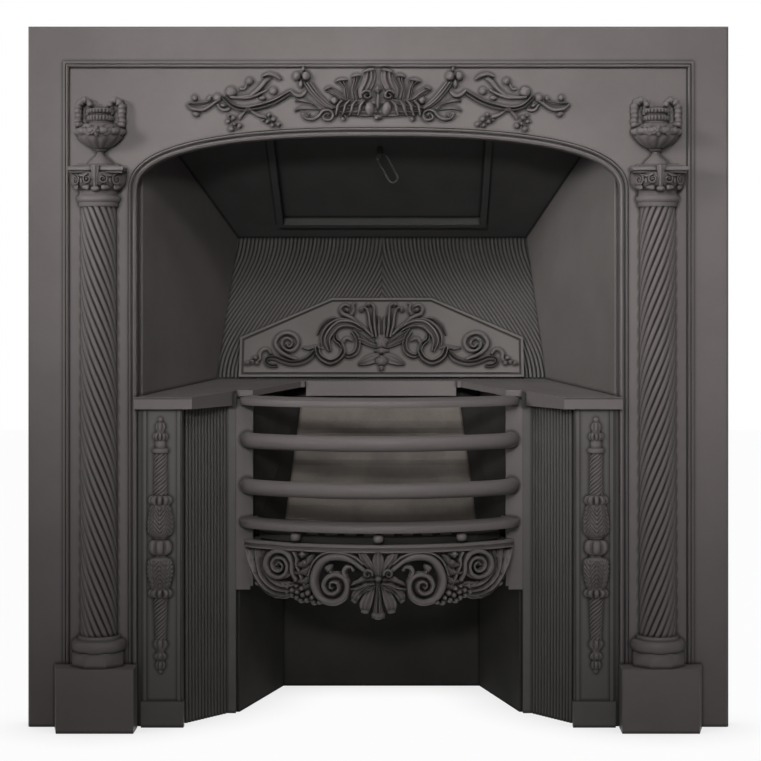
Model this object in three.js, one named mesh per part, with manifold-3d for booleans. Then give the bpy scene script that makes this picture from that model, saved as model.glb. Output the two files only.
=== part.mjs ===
// A cast iron fireplace insert: an arched front plate with twisted columns, two hobs,
// a bowed grate with a pierced fret, and a sloping canopy with a damper flap.
// Sizes are in millimetres. X runs to the right, Y to the back, Z up.
// Lengths along Y are first given from the face of the front plate; the whole group is then
// moved so that Y = 0 lies halfway between the front of the plinths and the back of the canopy.
import * as THREE from 'three';
import { mergeVertices } from 'three/addons/utils/BufferGeometryUtils.js';
import Module from 'manifold-3d';

const wasm = await Module();
wasm.setup();

// ---- driving dimensions ----
const HALF_WIDTH = 482.5;
const HEIGHT = 965;
const PLATE = 8;
const GAP = 0.3;
const FRONT_Y = -41;
const REAR_Y = 385;

const BAND_WIDTH = 48.5;
const FIELD_HALF = HALF_WIDTH - BAND_WIDTH;
const FIELD_TOP = HEIGHT - BAND_WIDTH;
const BAND_STEP = 2;
const BAND_CHAMFER = 3;
const RIM_Y = 34;
const RIM_WALL = 7;
const GROOVE_DEPTH = 2.2;

const OPENING_HALF = 332.5;
const ARCH_SPRING = 737;
const ARCH_RISE = 76.7;
const ARCH_EXPONENT = 2.5;
const ARCH_STEPS = 44;
const LIP_Y = 22;

const COLUMN_X = 384;
const COLUMN_Y = -2;
const BLOCK_HALF = 52.5;
const BLOCK_SPLAY = 9;
const BLOCK_TOP = 87;
const SHAFT_BOTTOM = 126;
const SHAFT_TOP = 718;
const SHAFT_LOBES = 16;
const SHAFT_LEAD = 342;
const SHAFT_STEPS = 24;
const URN_BASE = 772;

const PILASTER_IN = 270.5;
const PILASTER_OUT = 325;
const PILASTER_DEPTH = 27;
const PILASTER_BASE = 36;
const BALUSTER_X = 299.5;

const CHEEK_BACK_X = 219;
const CHEEK_BACK_Y = 92;
const REEDS = 13;
const HOB_UNDERSIDE = 438;
const LEDGE_UNDERSIDE = 459;

const NOSING_Y = -9;
const NOSING_IN = 255.5;
const NOSING_DEPTH = 13;
const HOB_PLATE = 9;
const HOB_FRONT_TOP = 455;
const HOB_RISE = 0.0473;

const PIT_FRONT_X = 202;
const PIT_FRONT_Y = 92.3;
const PIT_BACK_Y = 290;
const PIT_TAPER = 0.2663;
const PIT_WALL = 8;

const STILE_IN = 180;
const STILE_OUT = 204;
const STILE_FOOT = 176;
const STILE_TOP = 446;
const BOW_FRONT_Y = -15;
const BOW_RADIUS = 295;
const BOW_CORNER_X = 174;
const BOW_CORNER_RADIUS = 60;
const BAR_DIAMETER = 22;

const GRATE_BOTTOM = 250;
const GRATE_THICK = 9;
const BRICK_TOP = 437;
const BRICK_FACE_Y = 212;
const BRICK_BACK_Y = 250;
const BRICK_HALF_BOTTOM = 144;
const BRICK_HALF_TOP = 118;
const BRICK_FRONT_Y = 101;
const BRICK_COURSES = 4;
const BRICK_BULGE = 3;
const FRET_BALL_ALONG = 121.5;

const NICHE_HALF = 334.9;
const NICHE_TAPER = 0.2945;
const NICHE_WALL = 7;
const PANEL_FOOT_Y = 285;
const PANEL_FOOT_Z = 468.8;
const PANEL_HEAD_Y = 371;
const PANEL_HEAD_Z = 685;
const PLAQUE_PLATE = 7;
const PLAQUE_GROOVE = 3;
const CANOPY_SLOPE = 0.495;
const CANOPY_FRONT_Y = 9;
const CANOPY_PLATE = 8;

const FLUE_HALF = 152;
const FLUE_START = 54;
const FLUE_END = 310;
const FLAP_PLATE = 6;
const HINGE_RADIUS = 4;
const HINGE_ALONG = 40;
const HINGE_RISE = 10;
const RING_ALONG = 257;

// ---- finishes ----
const castIron = (shade) => new THREE.MeshStandardMaterial({ color: shade, roughness: 0.6, metalness: 0.35 });
const FACE_IRON = 0x6b6663;
const SHADED_IRON = 0x4a4745;
const SOOTED_IRON = 0x2b2a29;
const fireBrick = () => new THREE.MeshStandardMaterial({ color: 0x6a625b, roughness: 0.95, metalness: 0 });

// ---- from geometry to solids and back ----
function withoutSlivers(geometry) {
  const kept = [];
  const index = geometry.index.array;
  for (let i = 0; i < index.length; i += 3) {
    const [a, b, c] = [index[i], index[i + 1], index[i + 2]];
    if (a !== b && b !== c && c !== a) kept.push(a, b, c);
  }
  geometry.setIndex(kept);
  return geometry;
}

function signedVolume(geometry) {
  const place = geometry.attributes.position;
  const corners = [new THREE.Vector3(), new THREE.Vector3(), new THREE.Vector3()];
  let sum = 0;
  for (let i = 0; i < geometry.index.count; i += 3) {
    corners.forEach((corner, k) => corner.fromBufferAttribute(place, geometry.index.getX(i + k)));
    sum += corners[0].dot(corners[1].clone().cross(corners[2])) / 6;
  }
  return sum;
}

function turnedOut(geometry) {
  if (signedVolume(geometry) > 0) return geometry;
  const index = geometry.index.array;
  for (let i = 0; i < index.length; i += 3) {
    const first = index[i];
    index[i] = index[i + 1];
    index[i + 1] = first;
  }
  return geometry;
}

function closed(geometry) {
  const bare = geometry.clone();
  bare.deleteAttribute('normal');
  bare.deleteAttribute('uv');
  return turnedOut(withoutSlivers(mergeVertices(bare, 1e-3)));
}

function solid(geometry) {
  const shell = closed(geometry);
  return new wasm.Manifold(new wasm.Mesh({
    numProp: 3,
    vertProperties: new Float32Array(shell.attributes.position.array),
    triVerts: new Uint32Array(shell.index.array),
  }));
}

function surface(body) {
  const mesh = body.getMesh();
  const geometry = new THREE.BufferGeometry();
  geometry.setAttribute('position', new THREE.BufferAttribute(new Float32Array(mesh.vertProperties), 3));
  geometry.setIndex(new THREE.BufferAttribute(new Uint32Array(mesh.triVerts), 1));
  geometry.computeVertexNormals();
  return geometry;
}

const joined = (pieces) => pieces.slice(1).reduce((whole, piece) => whole.add(piece), pieces[0]);

// Splits every triangle that crosses one of the upright planes x = cut, so that it can be bent.
function slicedAcross(geometry, cuts) {
  const place = geometry.attributes.position;
  const corner = (i) => [place.getX(i), place.getY(i), place.getZ(i)];
  let faces = [];
  for (let i = 0; i < geometry.index.count; i += 3) {
    faces.push([0, 1, 2].map((k) => corner(geometry.index.getX(i + k))));
  }
  const meeting = (p, q, cut) => {
    const [from, to] = p[0] < q[0] ? [p, q] : [q, p];
    const t = (cut - from[0]) / (to[0] - from[0]);
    return [cut, from[1] + (to[1] - from[1]) * t, from[2] + (to[2] - from[2]) * t];
  };
  const near = 1e-6;
  cuts.forEach((cut) => {
    faces = faces.flatMap((face) => {
      const sides = face.map((point) => (Math.abs(point[0] - cut) < near ? 0 : Math.sign(point[0] - cut)));
      if (!sides.includes(1) || !sides.includes(-1)) return [face];
      const halves = [-1, 1].map((keep) => {
        const kept = [];
        face.forEach((point, k) => {
          const next = (k + 1) % 3;
          if (sides[k] !== -keep) kept.push(point);
          if (sides[k] * sides[next] === -1) kept.push(meeting(point, face[next], cut));
        });
        return kept;
      });
      return halves.flatMap((ring) => ring.slice(2).map((point, k) => [ring[0], ring[k + 1], point]));
    });
  });
  const sliced = new THREE.BufferGeometry();
  sliced.setAttribute('position', new THREE.Float32BufferAttribute(faces.flat(2), 3));
  return sliced;
}

function mirrored(geometry) {
  const twin = geometry.clone();
  twin.scale(-1, 1, 1);
  return turnedOut(closed(twin));
}

// ---- forms ----
const flat = (outline) => outline.map(([a, b]) => new THREE.Vector2(a, b));

function extruded(outline, depth, holes = []) {
  const shape = new THREE.Shape(flat(outline));
  holes.forEach((hole) => shape.holes.push(new THREE.Path(flat(hole))));
  return new THREE.ExtrudeGeometry(shape, { depth, bevelEnabled: false });
}

// An outline seen from the front, (x, z), carried from y0 to y1.
function wall(outline, y0, y1, holes) {
  return extruded(outline, y1 - y0, holes).rotateX(Math.PI / 2).translate(0, y1, 0);
}

// An outline seen from above, (x, y), carried from z0 to z1.
function slab(outline, z0, z1, holes) {
  return extruded(outline, z1 - z0, holes).translate(0, 0, z0);
}

// An outline seen from the side, (y, z), carried from x0 to x1.
function side(outline, x0, x1, holes) {
  const turn = new THREE.Matrix4().makeBasis(
    new THREE.Vector3(0, 1, 0),
    new THREE.Vector3(0, 0, 1),
    new THREE.Vector3(1, 0, 0),
  );
  return extruded(outline, x1 - x0, holes).applyMatrix4(turn).translate(x0, 0, 0);
}

const rectangle = (a0, a1, b0, b1) => [[a0, b0], [a1, b0], [a1, b1], [a0, b1]];
const block = (x0, x1, y0, y1, z0, z1) => slab(rectangle(x0, x1, y0, y1), z0, z1);

// Rings of points, each with as many points as the next, joined to one closed skin.
function loft(rings) {
  const size = rings[0].length;
  const points = rings.flat();
  const faces = [];
  for (let i = 0; i + 1 < rings.length; i += 1) {
    for (let j = 0; j < size; j += 1) {
      const a = i * size + j;
      const b = i * size + (j + 1) % size;
      faces.push(a, b, a + size, b, b + size, a + size);
    }
  }
  const cap = (ring, offset, flip) => {
    const middle = [0, 1, 2].map((k) => ring.reduce((sum, point) => sum + point[k], 0) / size);
    points.push(middle);
    for (let j = 0; j < size; j += 1) {
      const a = offset + j;
      const b = offset + (j + 1) % size;
      faces.push(points.length - 1, flip ? a : b, flip ? b : a);
    }
  };
  cap(rings[0], 0, false);
  cap(rings.at(-1), (rings.length - 1) * size, true);
  const geometry = new THREE.BufferGeometry();
  geometry.setAttribute('position', new THREE.Float32BufferAttribute(points.flat(), 3));
  geometry.setIndex(faces);
  return closed(geometry);
}

// A closed profile of (offset, height) points carried along a flat path with mitred corners.
// place(a, b, height) puts a point of the path's plane in space.
function swept(path, profile, place) {
  const leg = (from, to) => {
    const step = new THREE.Vector2(to[0] - from[0], to[1] - from[1]).normalize();
    return new THREE.Vector2(-step.y, step.x);
  };
  const rings = path.map((point, i) => {
    const after = i + 1 < path.length ? leg(point, path[i + 1]) : leg(path[i - 1], point);
    const before = i > 0 ? leg(path[i - 1], point) : after;
    const mitre = before.clone().add(after).divideScalar(1 + before.dot(after));
    return profile.map(([offset, height]) => place(
      point[0] + mitre.x * offset,
      point[1] + mitre.y * offset,
      height,
    ));
  });
  return loft(rings);
}

const upright = (a, b, height) => [a, height, b];
const level = (a, b, height) => [a, b, height];

// A profile of (radius, height) points that starts and ends on the axis, turned about Z.
function turned(profile, segments) {
  return new THREE.LatheGeometry(flat(profile), segments).rotateX(Math.PI / 2);
}

const behindFace = solid(block(-600, 600, -GAP, 200, -10, 1000));
const reliefOf = (geometry) => solid(geometry).subtract(behindFace);

// ---- the group and its parts ----
const fireplace = new THREE.Group();
fireplace.position.y = -(FRONT_Y + REAR_Y) / 2;

function add(name, geometry, finish = castIron(FACE_IRON), parent = fireplace) {
  const mesh = new THREE.Mesh(geometry, finish);
  mesh.name = name;
  parent.add(mesh);
  return mesh;
}

function addPair(name, geometry, shade = FACE_IRON, makeFinish = castIron) {
  add(`${name}_right`, geometry, makeFinish(shade));
  add(`${name}_left`, mirrored(geometry), makeFinish(shade));
}

// ---- front frame ----
function archLine() {
  const points = [[OPENING_HALF, 0]];
  for (let i = 0; i <= ARCH_STEPS; i += 1) {
    const angle = (Math.PI * i) / ARCH_STEPS;
    const cosine = Math.cos(angle);
    const across = Math.sign(cosine) * Math.abs(cosine) ** (2 / ARCH_EXPONENT);
    const up = Math.sin(angle) ** (2 / ARCH_EXPONENT);
    points.push([OPENING_HALF * across, ARCH_SPRING + ARCH_RISE * up]);
  }
  points.push([-OPENING_HALF, 0]);
  return points;
}

function frontFrame() {
  const field = wall([
    [FIELD_HALF, 0], [FIELD_HALF, FIELD_TOP], [-FIELD_HALF, FIELD_TOP], [-FIELD_HALF, 0],
    ...archLine().reverse(),
  ], 0, PLATE);
  const edge = [[-FIELD_HALF, 0], [-FIELD_HALF, FIELD_TOP], [FIELD_HALF, FIELD_TOP], [FIELD_HALF, 0]];
  const reach = BAND_WIDTH;
  const bandBack = BAND_STEP + PLATE;
  const band = swept(edge, [
    [-4, BAND_STEP], [reach - BAND_CHAMFER, BAND_STEP], [reach, BAND_STEP + BAND_CHAMFER],
    [reach, bandBack], [-4, bandBack],
  ], upright);
  const rimFlange = swept(edge, [
    [reach, bandBack - 2], [reach, RIM_Y], [reach - RIM_WALL, RIM_Y], [reach - RIM_WALL, bandBack - 2],
  ], upright);
  const bead = (from, to, height) => {
    const middle = (from + to) / 2;
    return [[from, 1], [from, -height / 2], [middle, -height], [to, -height / 2], [to, 1]];
  };
  const groove = (from, to) => [[from, -1], [from, GROOVE_DEPTH], [to, GROOVE_DEPTH], [to, -1]];
  const border = swept(edge, bead(-8, -4.5, 2.6), upright);
  const borderGrooves = [groove(-10.2, -8), groove(-4.5, -3)].map((profile) => swept(edge, profile, upright));
  // The arch line runs from right to left, so its offsets point away from the opening.
  const outward = archLine().reverse();
  const archBand = swept(outward, bead(0.5, 5.2, 3.2), upright);
  const archBead = swept(outward, bead(8, 11, 2), upright);
  const archGrooves = [groove(5.2, 8), groove(11, 12.4)].map((profile) => swept(outward, profile, upright));
  const lip = swept(outward, [[0, PLATE - 1], [0, LIP_Y], [7, LIP_Y], [7, PLATE - 1]], upright);
  const lug = (x, z) => {
    const hole = Array.from({ length: 12 }, (_, i) => {
      const angle = (Math.PI * i) / 6;
      return [x - Math.sign(x) * 18 + 4.5 * Math.cos(angle), z + 4.5 * Math.sin(angle)];
    });
    const inner = x - Math.sign(x) * 32;
    return solid(wall(rectangle(Math.min(x, inner), Math.max(x, inner), z - 15, z + 15), 28, RIM_Y, [hole]));
  };
  const reachIn = HALF_WIDTH - RIM_WALL + 2;
  const lugs = [-1, 1].flatMap((hand) => [300, 800].map((z) => lug(hand * reachIn, z)));
  const plate = joined([field, band, rimFlange, border, archBand, archBead, lip].map(solid).concat(lugs));
  const rooms = [-1, 1].map((hand) => solid(block(
    Math.min(hand * 320, hand * 450), Math.max(hand * 320, hand * 450), FRONT_Y, 0, -1, BLOCK_TOP + GAP,
  )));
  const grooves = [...borderGrooves, ...archGrooves].map(solid);
  return surface(plate.subtract(joined([...rooms, ...grooves])));
}
add('front_frame', frontFrame());

// ---- plinth blocks ----
const plinthPlan = [
  [COLUMN_X - BLOCK_HALF, FRONT_Y], [COLUMN_X + BLOCK_HALF, FRONT_Y],
  [COLUMN_X + BLOCK_HALF + BLOCK_SPLAY, -GAP], [COLUMN_X - BLOCK_HALF, -GAP],
];
addPair('plinth_block', slab(plinthPlan, 0, BLOCK_TOP));

// ---- columns ----
function twistedShaft() {
  const rings = [];
  for (let i = 0; i <= SHAFT_STEPS; i += 1) {
    const along = i / SHAFT_STEPS;
    const z = SHAFT_BOTTOM + (SHAFT_TOP - SHAFT_BOTTOM) * along;
    const radius = 25.2 - 1 * along;
    const twist = (2 * Math.PI * (z - SHAFT_BOTTOM)) / SHAFT_LEAD;
    rings.push(Array.from({ length: SHAFT_LOBES * 2 }, (_, j) => {
      const angle = (Math.PI * j) / SHAFT_LOBES + twist;
      const reach = j % 2 ? radius - 2 : radius;
      return [COLUMN_X + reach * Math.cos(angle), COLUMN_Y + reach * Math.sin(angle), z];
    }));
  }
  return solid(loft(rings));
}

function column() {
  const pedestal = turned([
    [0, BLOCK_TOP + GAP], [37.5, BLOCK_TOP + GAP], [37.5, 104], [36, 107], [0, 107],
  ], 8).rotateZ(Math.PI / 8);
  const rings = turned([
    [0, 105], [33, 105], [37, 110], [37, 118], [33, 123], [29, 123.5], [28, 128], [0, 128],
  ], 16);
  const head = turned([
    [0, 716], [27, 716], [27.5, 722], [29.9, 724.5], [29.9, 729], [27, 731.5], [26, 736], [33, 741],
    [37.5, 747], [38.5, 755], [36.5, 762], [0, 762],
  ], 16);
  const abacus = slab(rectangle(-38, 38, -36, 30), 761.5, 769);
  const seat = slab(rectangle(-30, 30, -30, 24), 768.5, URN_BASE);
  const raised = [pedestal, rings, head, abacus, seat].map((form) => (
    solid(form.translate(COLUMN_X, COLUMN_Y, 0))
  ));
  const scrolls = [-28, -9, 9, 28].map((x) => {
    const disc = new THREE.CylinderGeometry(8.4, 8.4, 9, 10);
    return solid(disc.translate(COLUMN_X + x, COLUMN_Y - 33, 752));
  });
  const whole = joined([...raised, ...scrolls, twistedShaft()]);
  return surface(whole.subtract(behindFace));
}
addPair('column', column());

// ---- urns ----
function urn() {
  const body = turned([
    [0, 0.3], [17.5, 0.3], [15.5, 6], [10, 11], [6, 15], [5.5, 19], [10, 22], [12, 25], [17, 27.5],
    [25.6, 34.5], [33, 43], [35.5, 48], [34, 51], [25, 56], [16.5, 59], [18.5, 63], [18.5, 69], [15.5, 71],
    [19, 72.5], [19.5, 77], [14, 79], [0, 79],
  ], 14);
  const handle = (hand) => {
    const curve = new THREE.CatmullRomCurve3([
      [14.5, 76], [14.5, 88], [22, 88], [29, 80], [30, 68], [27, 56],
    ].map(([x, z]) => new THREE.Vector3(hand * x, -4, z)));
    const section = new THREE.Shape().absarc(0, 0, 5.2, 0, 2 * Math.PI);
    return new THREE.ExtrudeGeometry(section, {
      extrudePath: curve, steps: 10, curveSegments: 3, bevelEnabled: false,
    });
  };
  const place = (form) => form.translate(COLUMN_X - 2.3, COLUMN_Y, URN_BASE);
  return joined([body, handle(-1), handle(1)].map((form) => solid(place(form))));
}
addPair('urn', surface(urn().subtract(behindFace)));

// ---- hob pilasters and their turned ornaments ----
function pilaster() {
  const face = slab([
    [PILASTER_IN, 0], [PILASTER_OUT, 0], [PILASTER_OUT, 6], [OPENING_HALF - GAP, 6],
    [OPENING_HALF - GAP, PILASTER_DEPTH], [OPENING_HALF - 8, PILASTER_DEPTH],
    [OPENING_HALF - 8, 14], [PILASTER_IN + 8, 14], [PILASTER_IN + 8, PILASTER_DEPTH],
    [PILASTER_IN, PILASTER_DEPTH],
  ], 0, HOB_UNDERSIDE - GAP);
  const base = block(PILASTER_IN - 2.5, PILASTER_OUT + 1.5, -3, 10, 0, PILASTER_BASE);
  const fillets = [PILASTER_IN + 4, PILASTER_OUT - 4].map((x) => (
    block(x - 2, x + 2, -2, 1, PILASTER_BASE - 1, HOB_UNDERSIDE - GAP)
  ));
  return surface(joined([face, base, ...fillets].map(solid)));
}
addPair('hob_pilaster', pilaster());

const balusterProfile = [
  [0, 74], [3.5, 77], [5.5, 82], [6.5, 88], [5, 92], [8.5, 95], [9, 99], [5.5, 102.5], [7.5, 107],
  [10.5, 113], [10.5, 118], [8.5, 121], [9.2, 149], [10, 177], [17.5, 181], [18, 186], [13, 190],
  [14, 196], [17.5, 207], [19, 219], [17.5, 228], [12, 233.5], [13, 237], [17.5, 242], [18, 249],
  [15.5, 255.5], [12, 258.5], [12, 263], [17, 268], [19.1, 277], [18.6, 288], [15, 300], [13.5, 309],
  [18.5, 312], [18.5, 318], [11.5, 321], [10.5, 345], [8.8, 376], [10.5, 379.5], [9.8, 386], [7.5, 392],
  [10.8, 395], [10.8, 400], [6.5, 403], [8.6, 408], [7, 414], [3.4, 417.5], [3.6, 423], [0, 427],
];
const baluster = turned(balusterProfile, 12).scale(1, 0.8, 1).translate(BALUSTER_X, 0, 0);
addPair('baluster', surface(reliefOf(baluster)));

// ---- reeded cheeks beside the grate ----
function flutedCheek() {
  const start = new THREE.Vector2(PILASTER_IN - 0.5, PILASTER_DEPTH + GAP);
  const end = new THREE.Vector2(CHEEK_BACK_X, CHEEK_BACK_Y);
  const run = end.clone().sub(start);
  const along = run.clone().normalize();
  const out = new THREE.Vector2(along.y, -along.x).multiplyScalar(-1);
  const front = [[start.x, start.y]];
  const steps = 3;
  for (let reed = 0; reed < REEDS; reed += 1) {
    for (let i = 0; i <= steps; i += 1) {
      const t = (reed + 0.08 + (0.84 * i) / steps) / REEDS;
      const swell = 2.2 * Math.sin((Math.PI * i) / steps);
      const point = start.clone().addScaledVector(run, t).addScaledVector(out, swell);
      front.push([point.x, point.y]);
    }
  }
  const back = start.clone().addScaledVector(out, -8);
  const plan = [
    ...front, [end.x, end.y], [STILE_OUT + GAP, end.y], [STILE_OUT + GAP, end.y + 8],
    [end.x + 3, end.y + 8], [back.x, back.y + 2], [start.x, start.y + 4],
  ];
  return slab(plan, 0, HOB_UNDERSIDE - GAP);
}
addPair('fluted_cheek', closed(flutedCheek()));

// ---- hob plates ----
const hobTopAt = (y) => HOB_FRONT_TOP + HOB_RISE * (y - 10);
const nicheHalfAt = (y) => NICHE_HALF - NICHE_TAPER * y;
const hobSlope = (drop) => side([
  [NOSING_Y - 1, hobTopAt(NOSING_Y) - drop], [320, hobTopAt(320) - drop], [320, 600], [NOSING_Y - 1, 600],
], -500, 500);
const aboveHob = solid(hobSlope(0));
const belowPlate = solid(side([
  [NOSING_Y - 1, 400], [320, 400], [320, hobTopAt(320) - HOB_PLATE], [NOSING_Y - 1, hobTopAt(0) - HOB_PLATE],
], -500, 500));

function hobTop() {
  const shelfBack = PANEL_FOOT_Y + 8;
  const outerAt = (y) => nicheHalfAt(y) + 14;
  const corner = Array.from({ length: 4 }, (_, i) => {
    const angle = (Math.PI / 2) * (i / 3);
    return [118 - 8 * Math.sin(angle) + 3, 240 + 8 * (1 - Math.cos(angle))];
  });
  const plan = [
    [NOSING_IN, NOSING_Y], [OPENING_HALF + 3, NOSING_Y], [OPENING_HALF + 3, -3.8],
    [OPENING_HALF - GAP, -3.8], [OPENING_HALF - GAP, LIP_Y + GAP], [outerAt(LIP_Y), LIP_Y + GAP],
    [outerAt(shelfBack), shelfBack], [113, shelfBack], ...corner.reverse(),
    [STILE_IN + 1, BRICK_FRONT_Y], [STILE_OUT + GAP, BRICK_FRONT_Y], [208, 88],
  ];
  const plate = solid(slab(plan, HOB_UNDERSIDE, 490)).subtract(belowPlate);
  const dip = NOSING_DEPTH;
  const nosing = solid(slab([
    [NOSING_IN, NOSING_Y], [OPENING_HALF + 3, NOSING_Y], [OPENING_HALF + 3, -3.8],
    [OPENING_HALF - GAP, -3.8], [OPENING_HALF - GAP, NOSING_Y + dip], [NOSING_IN + 4, NOSING_Y + dip],
    [218, 92], [208, 88],
  ], HOB_UNDERSIDE, 490));
  const roundOver = solid(block(-500, 500, NOSING_Y - 20, NOSING_Y + 2.2, 451.5, 500));
  return surface(plate.add(nosing).subtract(aboveHob).subtract(roundOver));
}
addPair('hob_top', hobTop());

function hobLedge() {
  const face = slab(rectangle(-112.7, 112.7, 247.7, 255.7), 444, 480);
  const shelf = slab(rectangle(-112.7, 112.7, 247.7, PANEL_FOOT_Y + 8), LEDGE_UNDERSIDE, 480);
  return surface(joined([face, shelf].map(solid)).subtract(aboveHob));
}
add('hob_ledge', hobLedge());

// ---- niche above the hobs ----
const canopyUnder = (y) => PANEL_HEAD_Z + (PANEL_HEAD_Y - y) * CANOPY_SLOPE;

function upperCheek() {
  const startY = LIP_Y + GAP + 0.3;
  const inner = (y) => [nicheHalfAt(y), y];
  const outer = (y) => [nicheHalfAt(y) + NICHE_WALL, y];
  const plan = [
    inner(REAR_Y), outer(REAR_Y), outer(startY + 8), [348, 28], [348, 15.6], [366, 15.6],
    [366, PLATE + GAP], [OPENING_HALF + 7.5, PLATE + GAP], [OPENING_HALF + 7.5, startY], inner(startY),
  ];
  const profile = [
    [0, hobTopAt(0) + GAP], [PANEL_FOOT_Y + 8, hobTopAt(PANEL_FOOT_Y + 8) + GAP], [REAR_Y, PANEL_HEAD_Z - 22],
    [REAR_Y, canopyUnder(REAR_Y) - GAP], [0, canopyUnder(0) - GAP],
  ];
  return surface(solid(slab(plan, 400, 900)).intersect(solid(side(profile, 0, 500))));
}
addPair('upper_cheek', upperCheek());

const betweenCheeks = solid(slab([
  [nicheHalfAt(200) - GAP, 200], [nicheHalfAt(420) - GAP, 420],
  [-nicheHalfAt(420) + GAP, 420], [-nicheHalfAt(200) + GAP, 200],
], 300, 1000));

function backPanel() {
  const lean = (PANEL_HEAD_Y - PANEL_FOOT_Y) / (PANEL_HEAD_Z - PANEL_FOOT_Z);
  const headZ = PANEL_HEAD_Z - GAP;
  const headY = PANEL_FOOT_Y + lean * (headZ - PANEL_FOOT_Z);
  const plate = side([
    [PANEL_FOOT_Y, PANEL_FOOT_Z], [headY, headZ], [headY + 8, headZ - 8 * CANOPY_SLOPE],
    [PANEL_FOOT_Y + 8, PANEL_FOOT_Z + 0.4],
  ], -260, 260);
  return surface(solid(plate).intersect(betweenCheeks));
}
add('back_panel', backPanel(), castIron(SHADED_IRON));

const panelRise = new THREE.Vector3(0, PANEL_HEAD_Y - PANEL_FOOT_Y, PANEL_HEAD_Z - PANEL_FOOT_Z).normalize();
const acrossX = new THREE.Vector3(1, 0, 0);
const panelFrame = new THREE.Matrix4()
  .makeBasis(acrossX, panelRise, acrossX.clone().cross(panelRise))
  .setPosition(0, PANEL_FOOT_Y, PANEL_FOOT_Z);

function backPlaque() {
  const gable = (inset) => {
    const half = 216.5 - inset;
    const shoulder = 64 - inset * 0.75;
    const topHalf = 77 - inset * 0.2;
    return [
      [-half, inset], [half, inset], [half, shoulder],
      [topHalf, 129 - inset], [-topHalf, 129 - inset], [-half, shoulder],
    ];
  };
  const plate = extruded(gable(0), PLAQUE_PLATE);
  const groove = extruded(gable(3.5), PLAQUE_PLATE, [gable(7)]).translate(0, 0, PLAQUE_PLATE - PLAQUE_GROOVE);
  return surface(solid(plate).subtract(solid(groove)).translate([0, 0, GAP])).applyMatrix4(panelFrame);
}
add('back_plaque', backPlaque());

// ---- canopy and damper ----
const canopyRun = new THREE.Vector3(0, -1, CANOPY_SLOPE).normalize();
const canopyFrame = new THREE.Matrix4()
  .makeBasis(acrossX, canopyRun, acrossX.clone().cross(canopyRun))
  .setPosition(0, PANEL_HEAD_Y, PANEL_HEAD_Z);
const onCanopy = (form) => form.applyMatrix4(canopyFrame);

function circle(x, y, radius, sides) {
  return Array.from({ length: sides }, (_, i) => {
    const angle = (2 * Math.PI * i) / sides;
    return [x + radius * Math.cos(angle), y + radius * Math.sin(angle)];
  });
}

function canopy() {
  const rearY = REAR_Y;
  const flangeY = CANOPY_FRONT_Y + 7;
  const slopeLine = [
    [CANOPY_FRONT_Y, canopyUnder(CANOPY_FRONT_Y)], [rearY, canopyUnder(rearY)],
    [rearY, canopyUnder(rearY) + CANOPY_PLATE], [flangeY, canopyUnder(flangeY) + CANOPY_PLATE],
    [flangeY, 896], [CANOPY_FRONT_Y, 896],
  ];
  const edgeAt = (y) => nicheHalfAt(y) + NICHE_WALL + 9;
  const plan = [
    [edgeAt(CANOPY_FRONT_Y), CANOPY_FRONT_Y], [edgeAt(rearY), rearY],
    [-edgeAt(rearY), rearY], [-edgeAt(CANOPY_FRONT_Y), CANOPY_FRONT_Y],
  ];
  const plate = solid(side(slopeLine, -400, 400)).intersect(solid(slab(plan, 600, 1000)));
  const flue = rectangle(-FLUE_HALF, FLUE_HALF, FLUE_START, FLUE_END);
  const cut = solid(onCanopy(extruded(flue, 40).translate(0, 0, -20)));
  const rimOuter = rectangle(-FLUE_HALF - 9, FLUE_HALF + 9, FLUE_START - 9, FLUE_END + 9);
  const rim = solid(onCanopy(extruded(rimOuter, 7, [flue]).translate(0, 0, -1)));
  const lugs = [-120, 120].map((x) => {
    const outline = [
      [HINGE_ALONG - 9, 7], [HINGE_ALONG + 9, 7], [HINGE_ALONG + 9, 8 + HINGE_RISE],
      [HINGE_ALONG, 17 + HINGE_RISE], [HINGE_ALONG - 9, 8 + HINGE_RISE],
    ].map(([along, rise]) => [along, -rise]);
    const bore = circle(HINGE_ALONG, -CANOPY_PLATE - HINGE_RISE, HINGE_RADIUS + GAP, 16);
    return solid(onCanopy(side(outline, x - 5, x + 5, [bore])));
  });
  return surface(joined([plate.subtract(cut), rim, ...lugs]));
}
add('canopy', canopy(), castIron(SHADED_IRON));

const hingeRod = side(circle(HINGE_ALONG, -CANOPY_PLATE - HINGE_RISE, HINGE_RADIUS, 16), -134, 134);
add('damper_hinge_rod', onCanopy(hingeRod), castIron(SHADED_IRON));

function damperFlap() {
  const under = CANOPY_PLATE + GAP;
  const plate = extruded(rectangle(-160, 160, 51, 322), FLAP_PLATE).translate(0, 0, -under - FLAP_PLATE);
  const ribs = [-90, 90].map((x) => (
    extruded(rectangle(x - 3, x + 3, 53, 318), 9).translate(0, 0, -under - FLAP_PLATE - 8)
  ));
  const knuckles = [-90, 90].map((x) => {
    const centre = [HINGE_ALONG, -CANOPY_PLATE - HINGE_RISE];
    const curl = circle(centre[0], centre[1], 8.5, 16);
    const ear = [
      ...curl.filter(([along, rise]) => along < centre[0] + 1 || rise < centre[1] - 7),
      [56, centre[1] - 1], [56, -under - 1],
    ];
    ear.sort((p, q) => (
      Math.atan2(p[1] - centre[1], p[0] - centre[0]) - Math.atan2(q[1] - centre[1], q[0] - centre[0])
    ));
    return side(ear, x - 14, x + 14, [circle(centre[0], centre[1], HINGE_RADIUS + GAP, 16)]);
  });
  return surface(joined([plate, ...ribs, ...knuckles].map(solid))).applyMatrix4(canopyFrame);
}
add('damper_flap', damperFlap(), castIron(SHADED_IRON));

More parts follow.
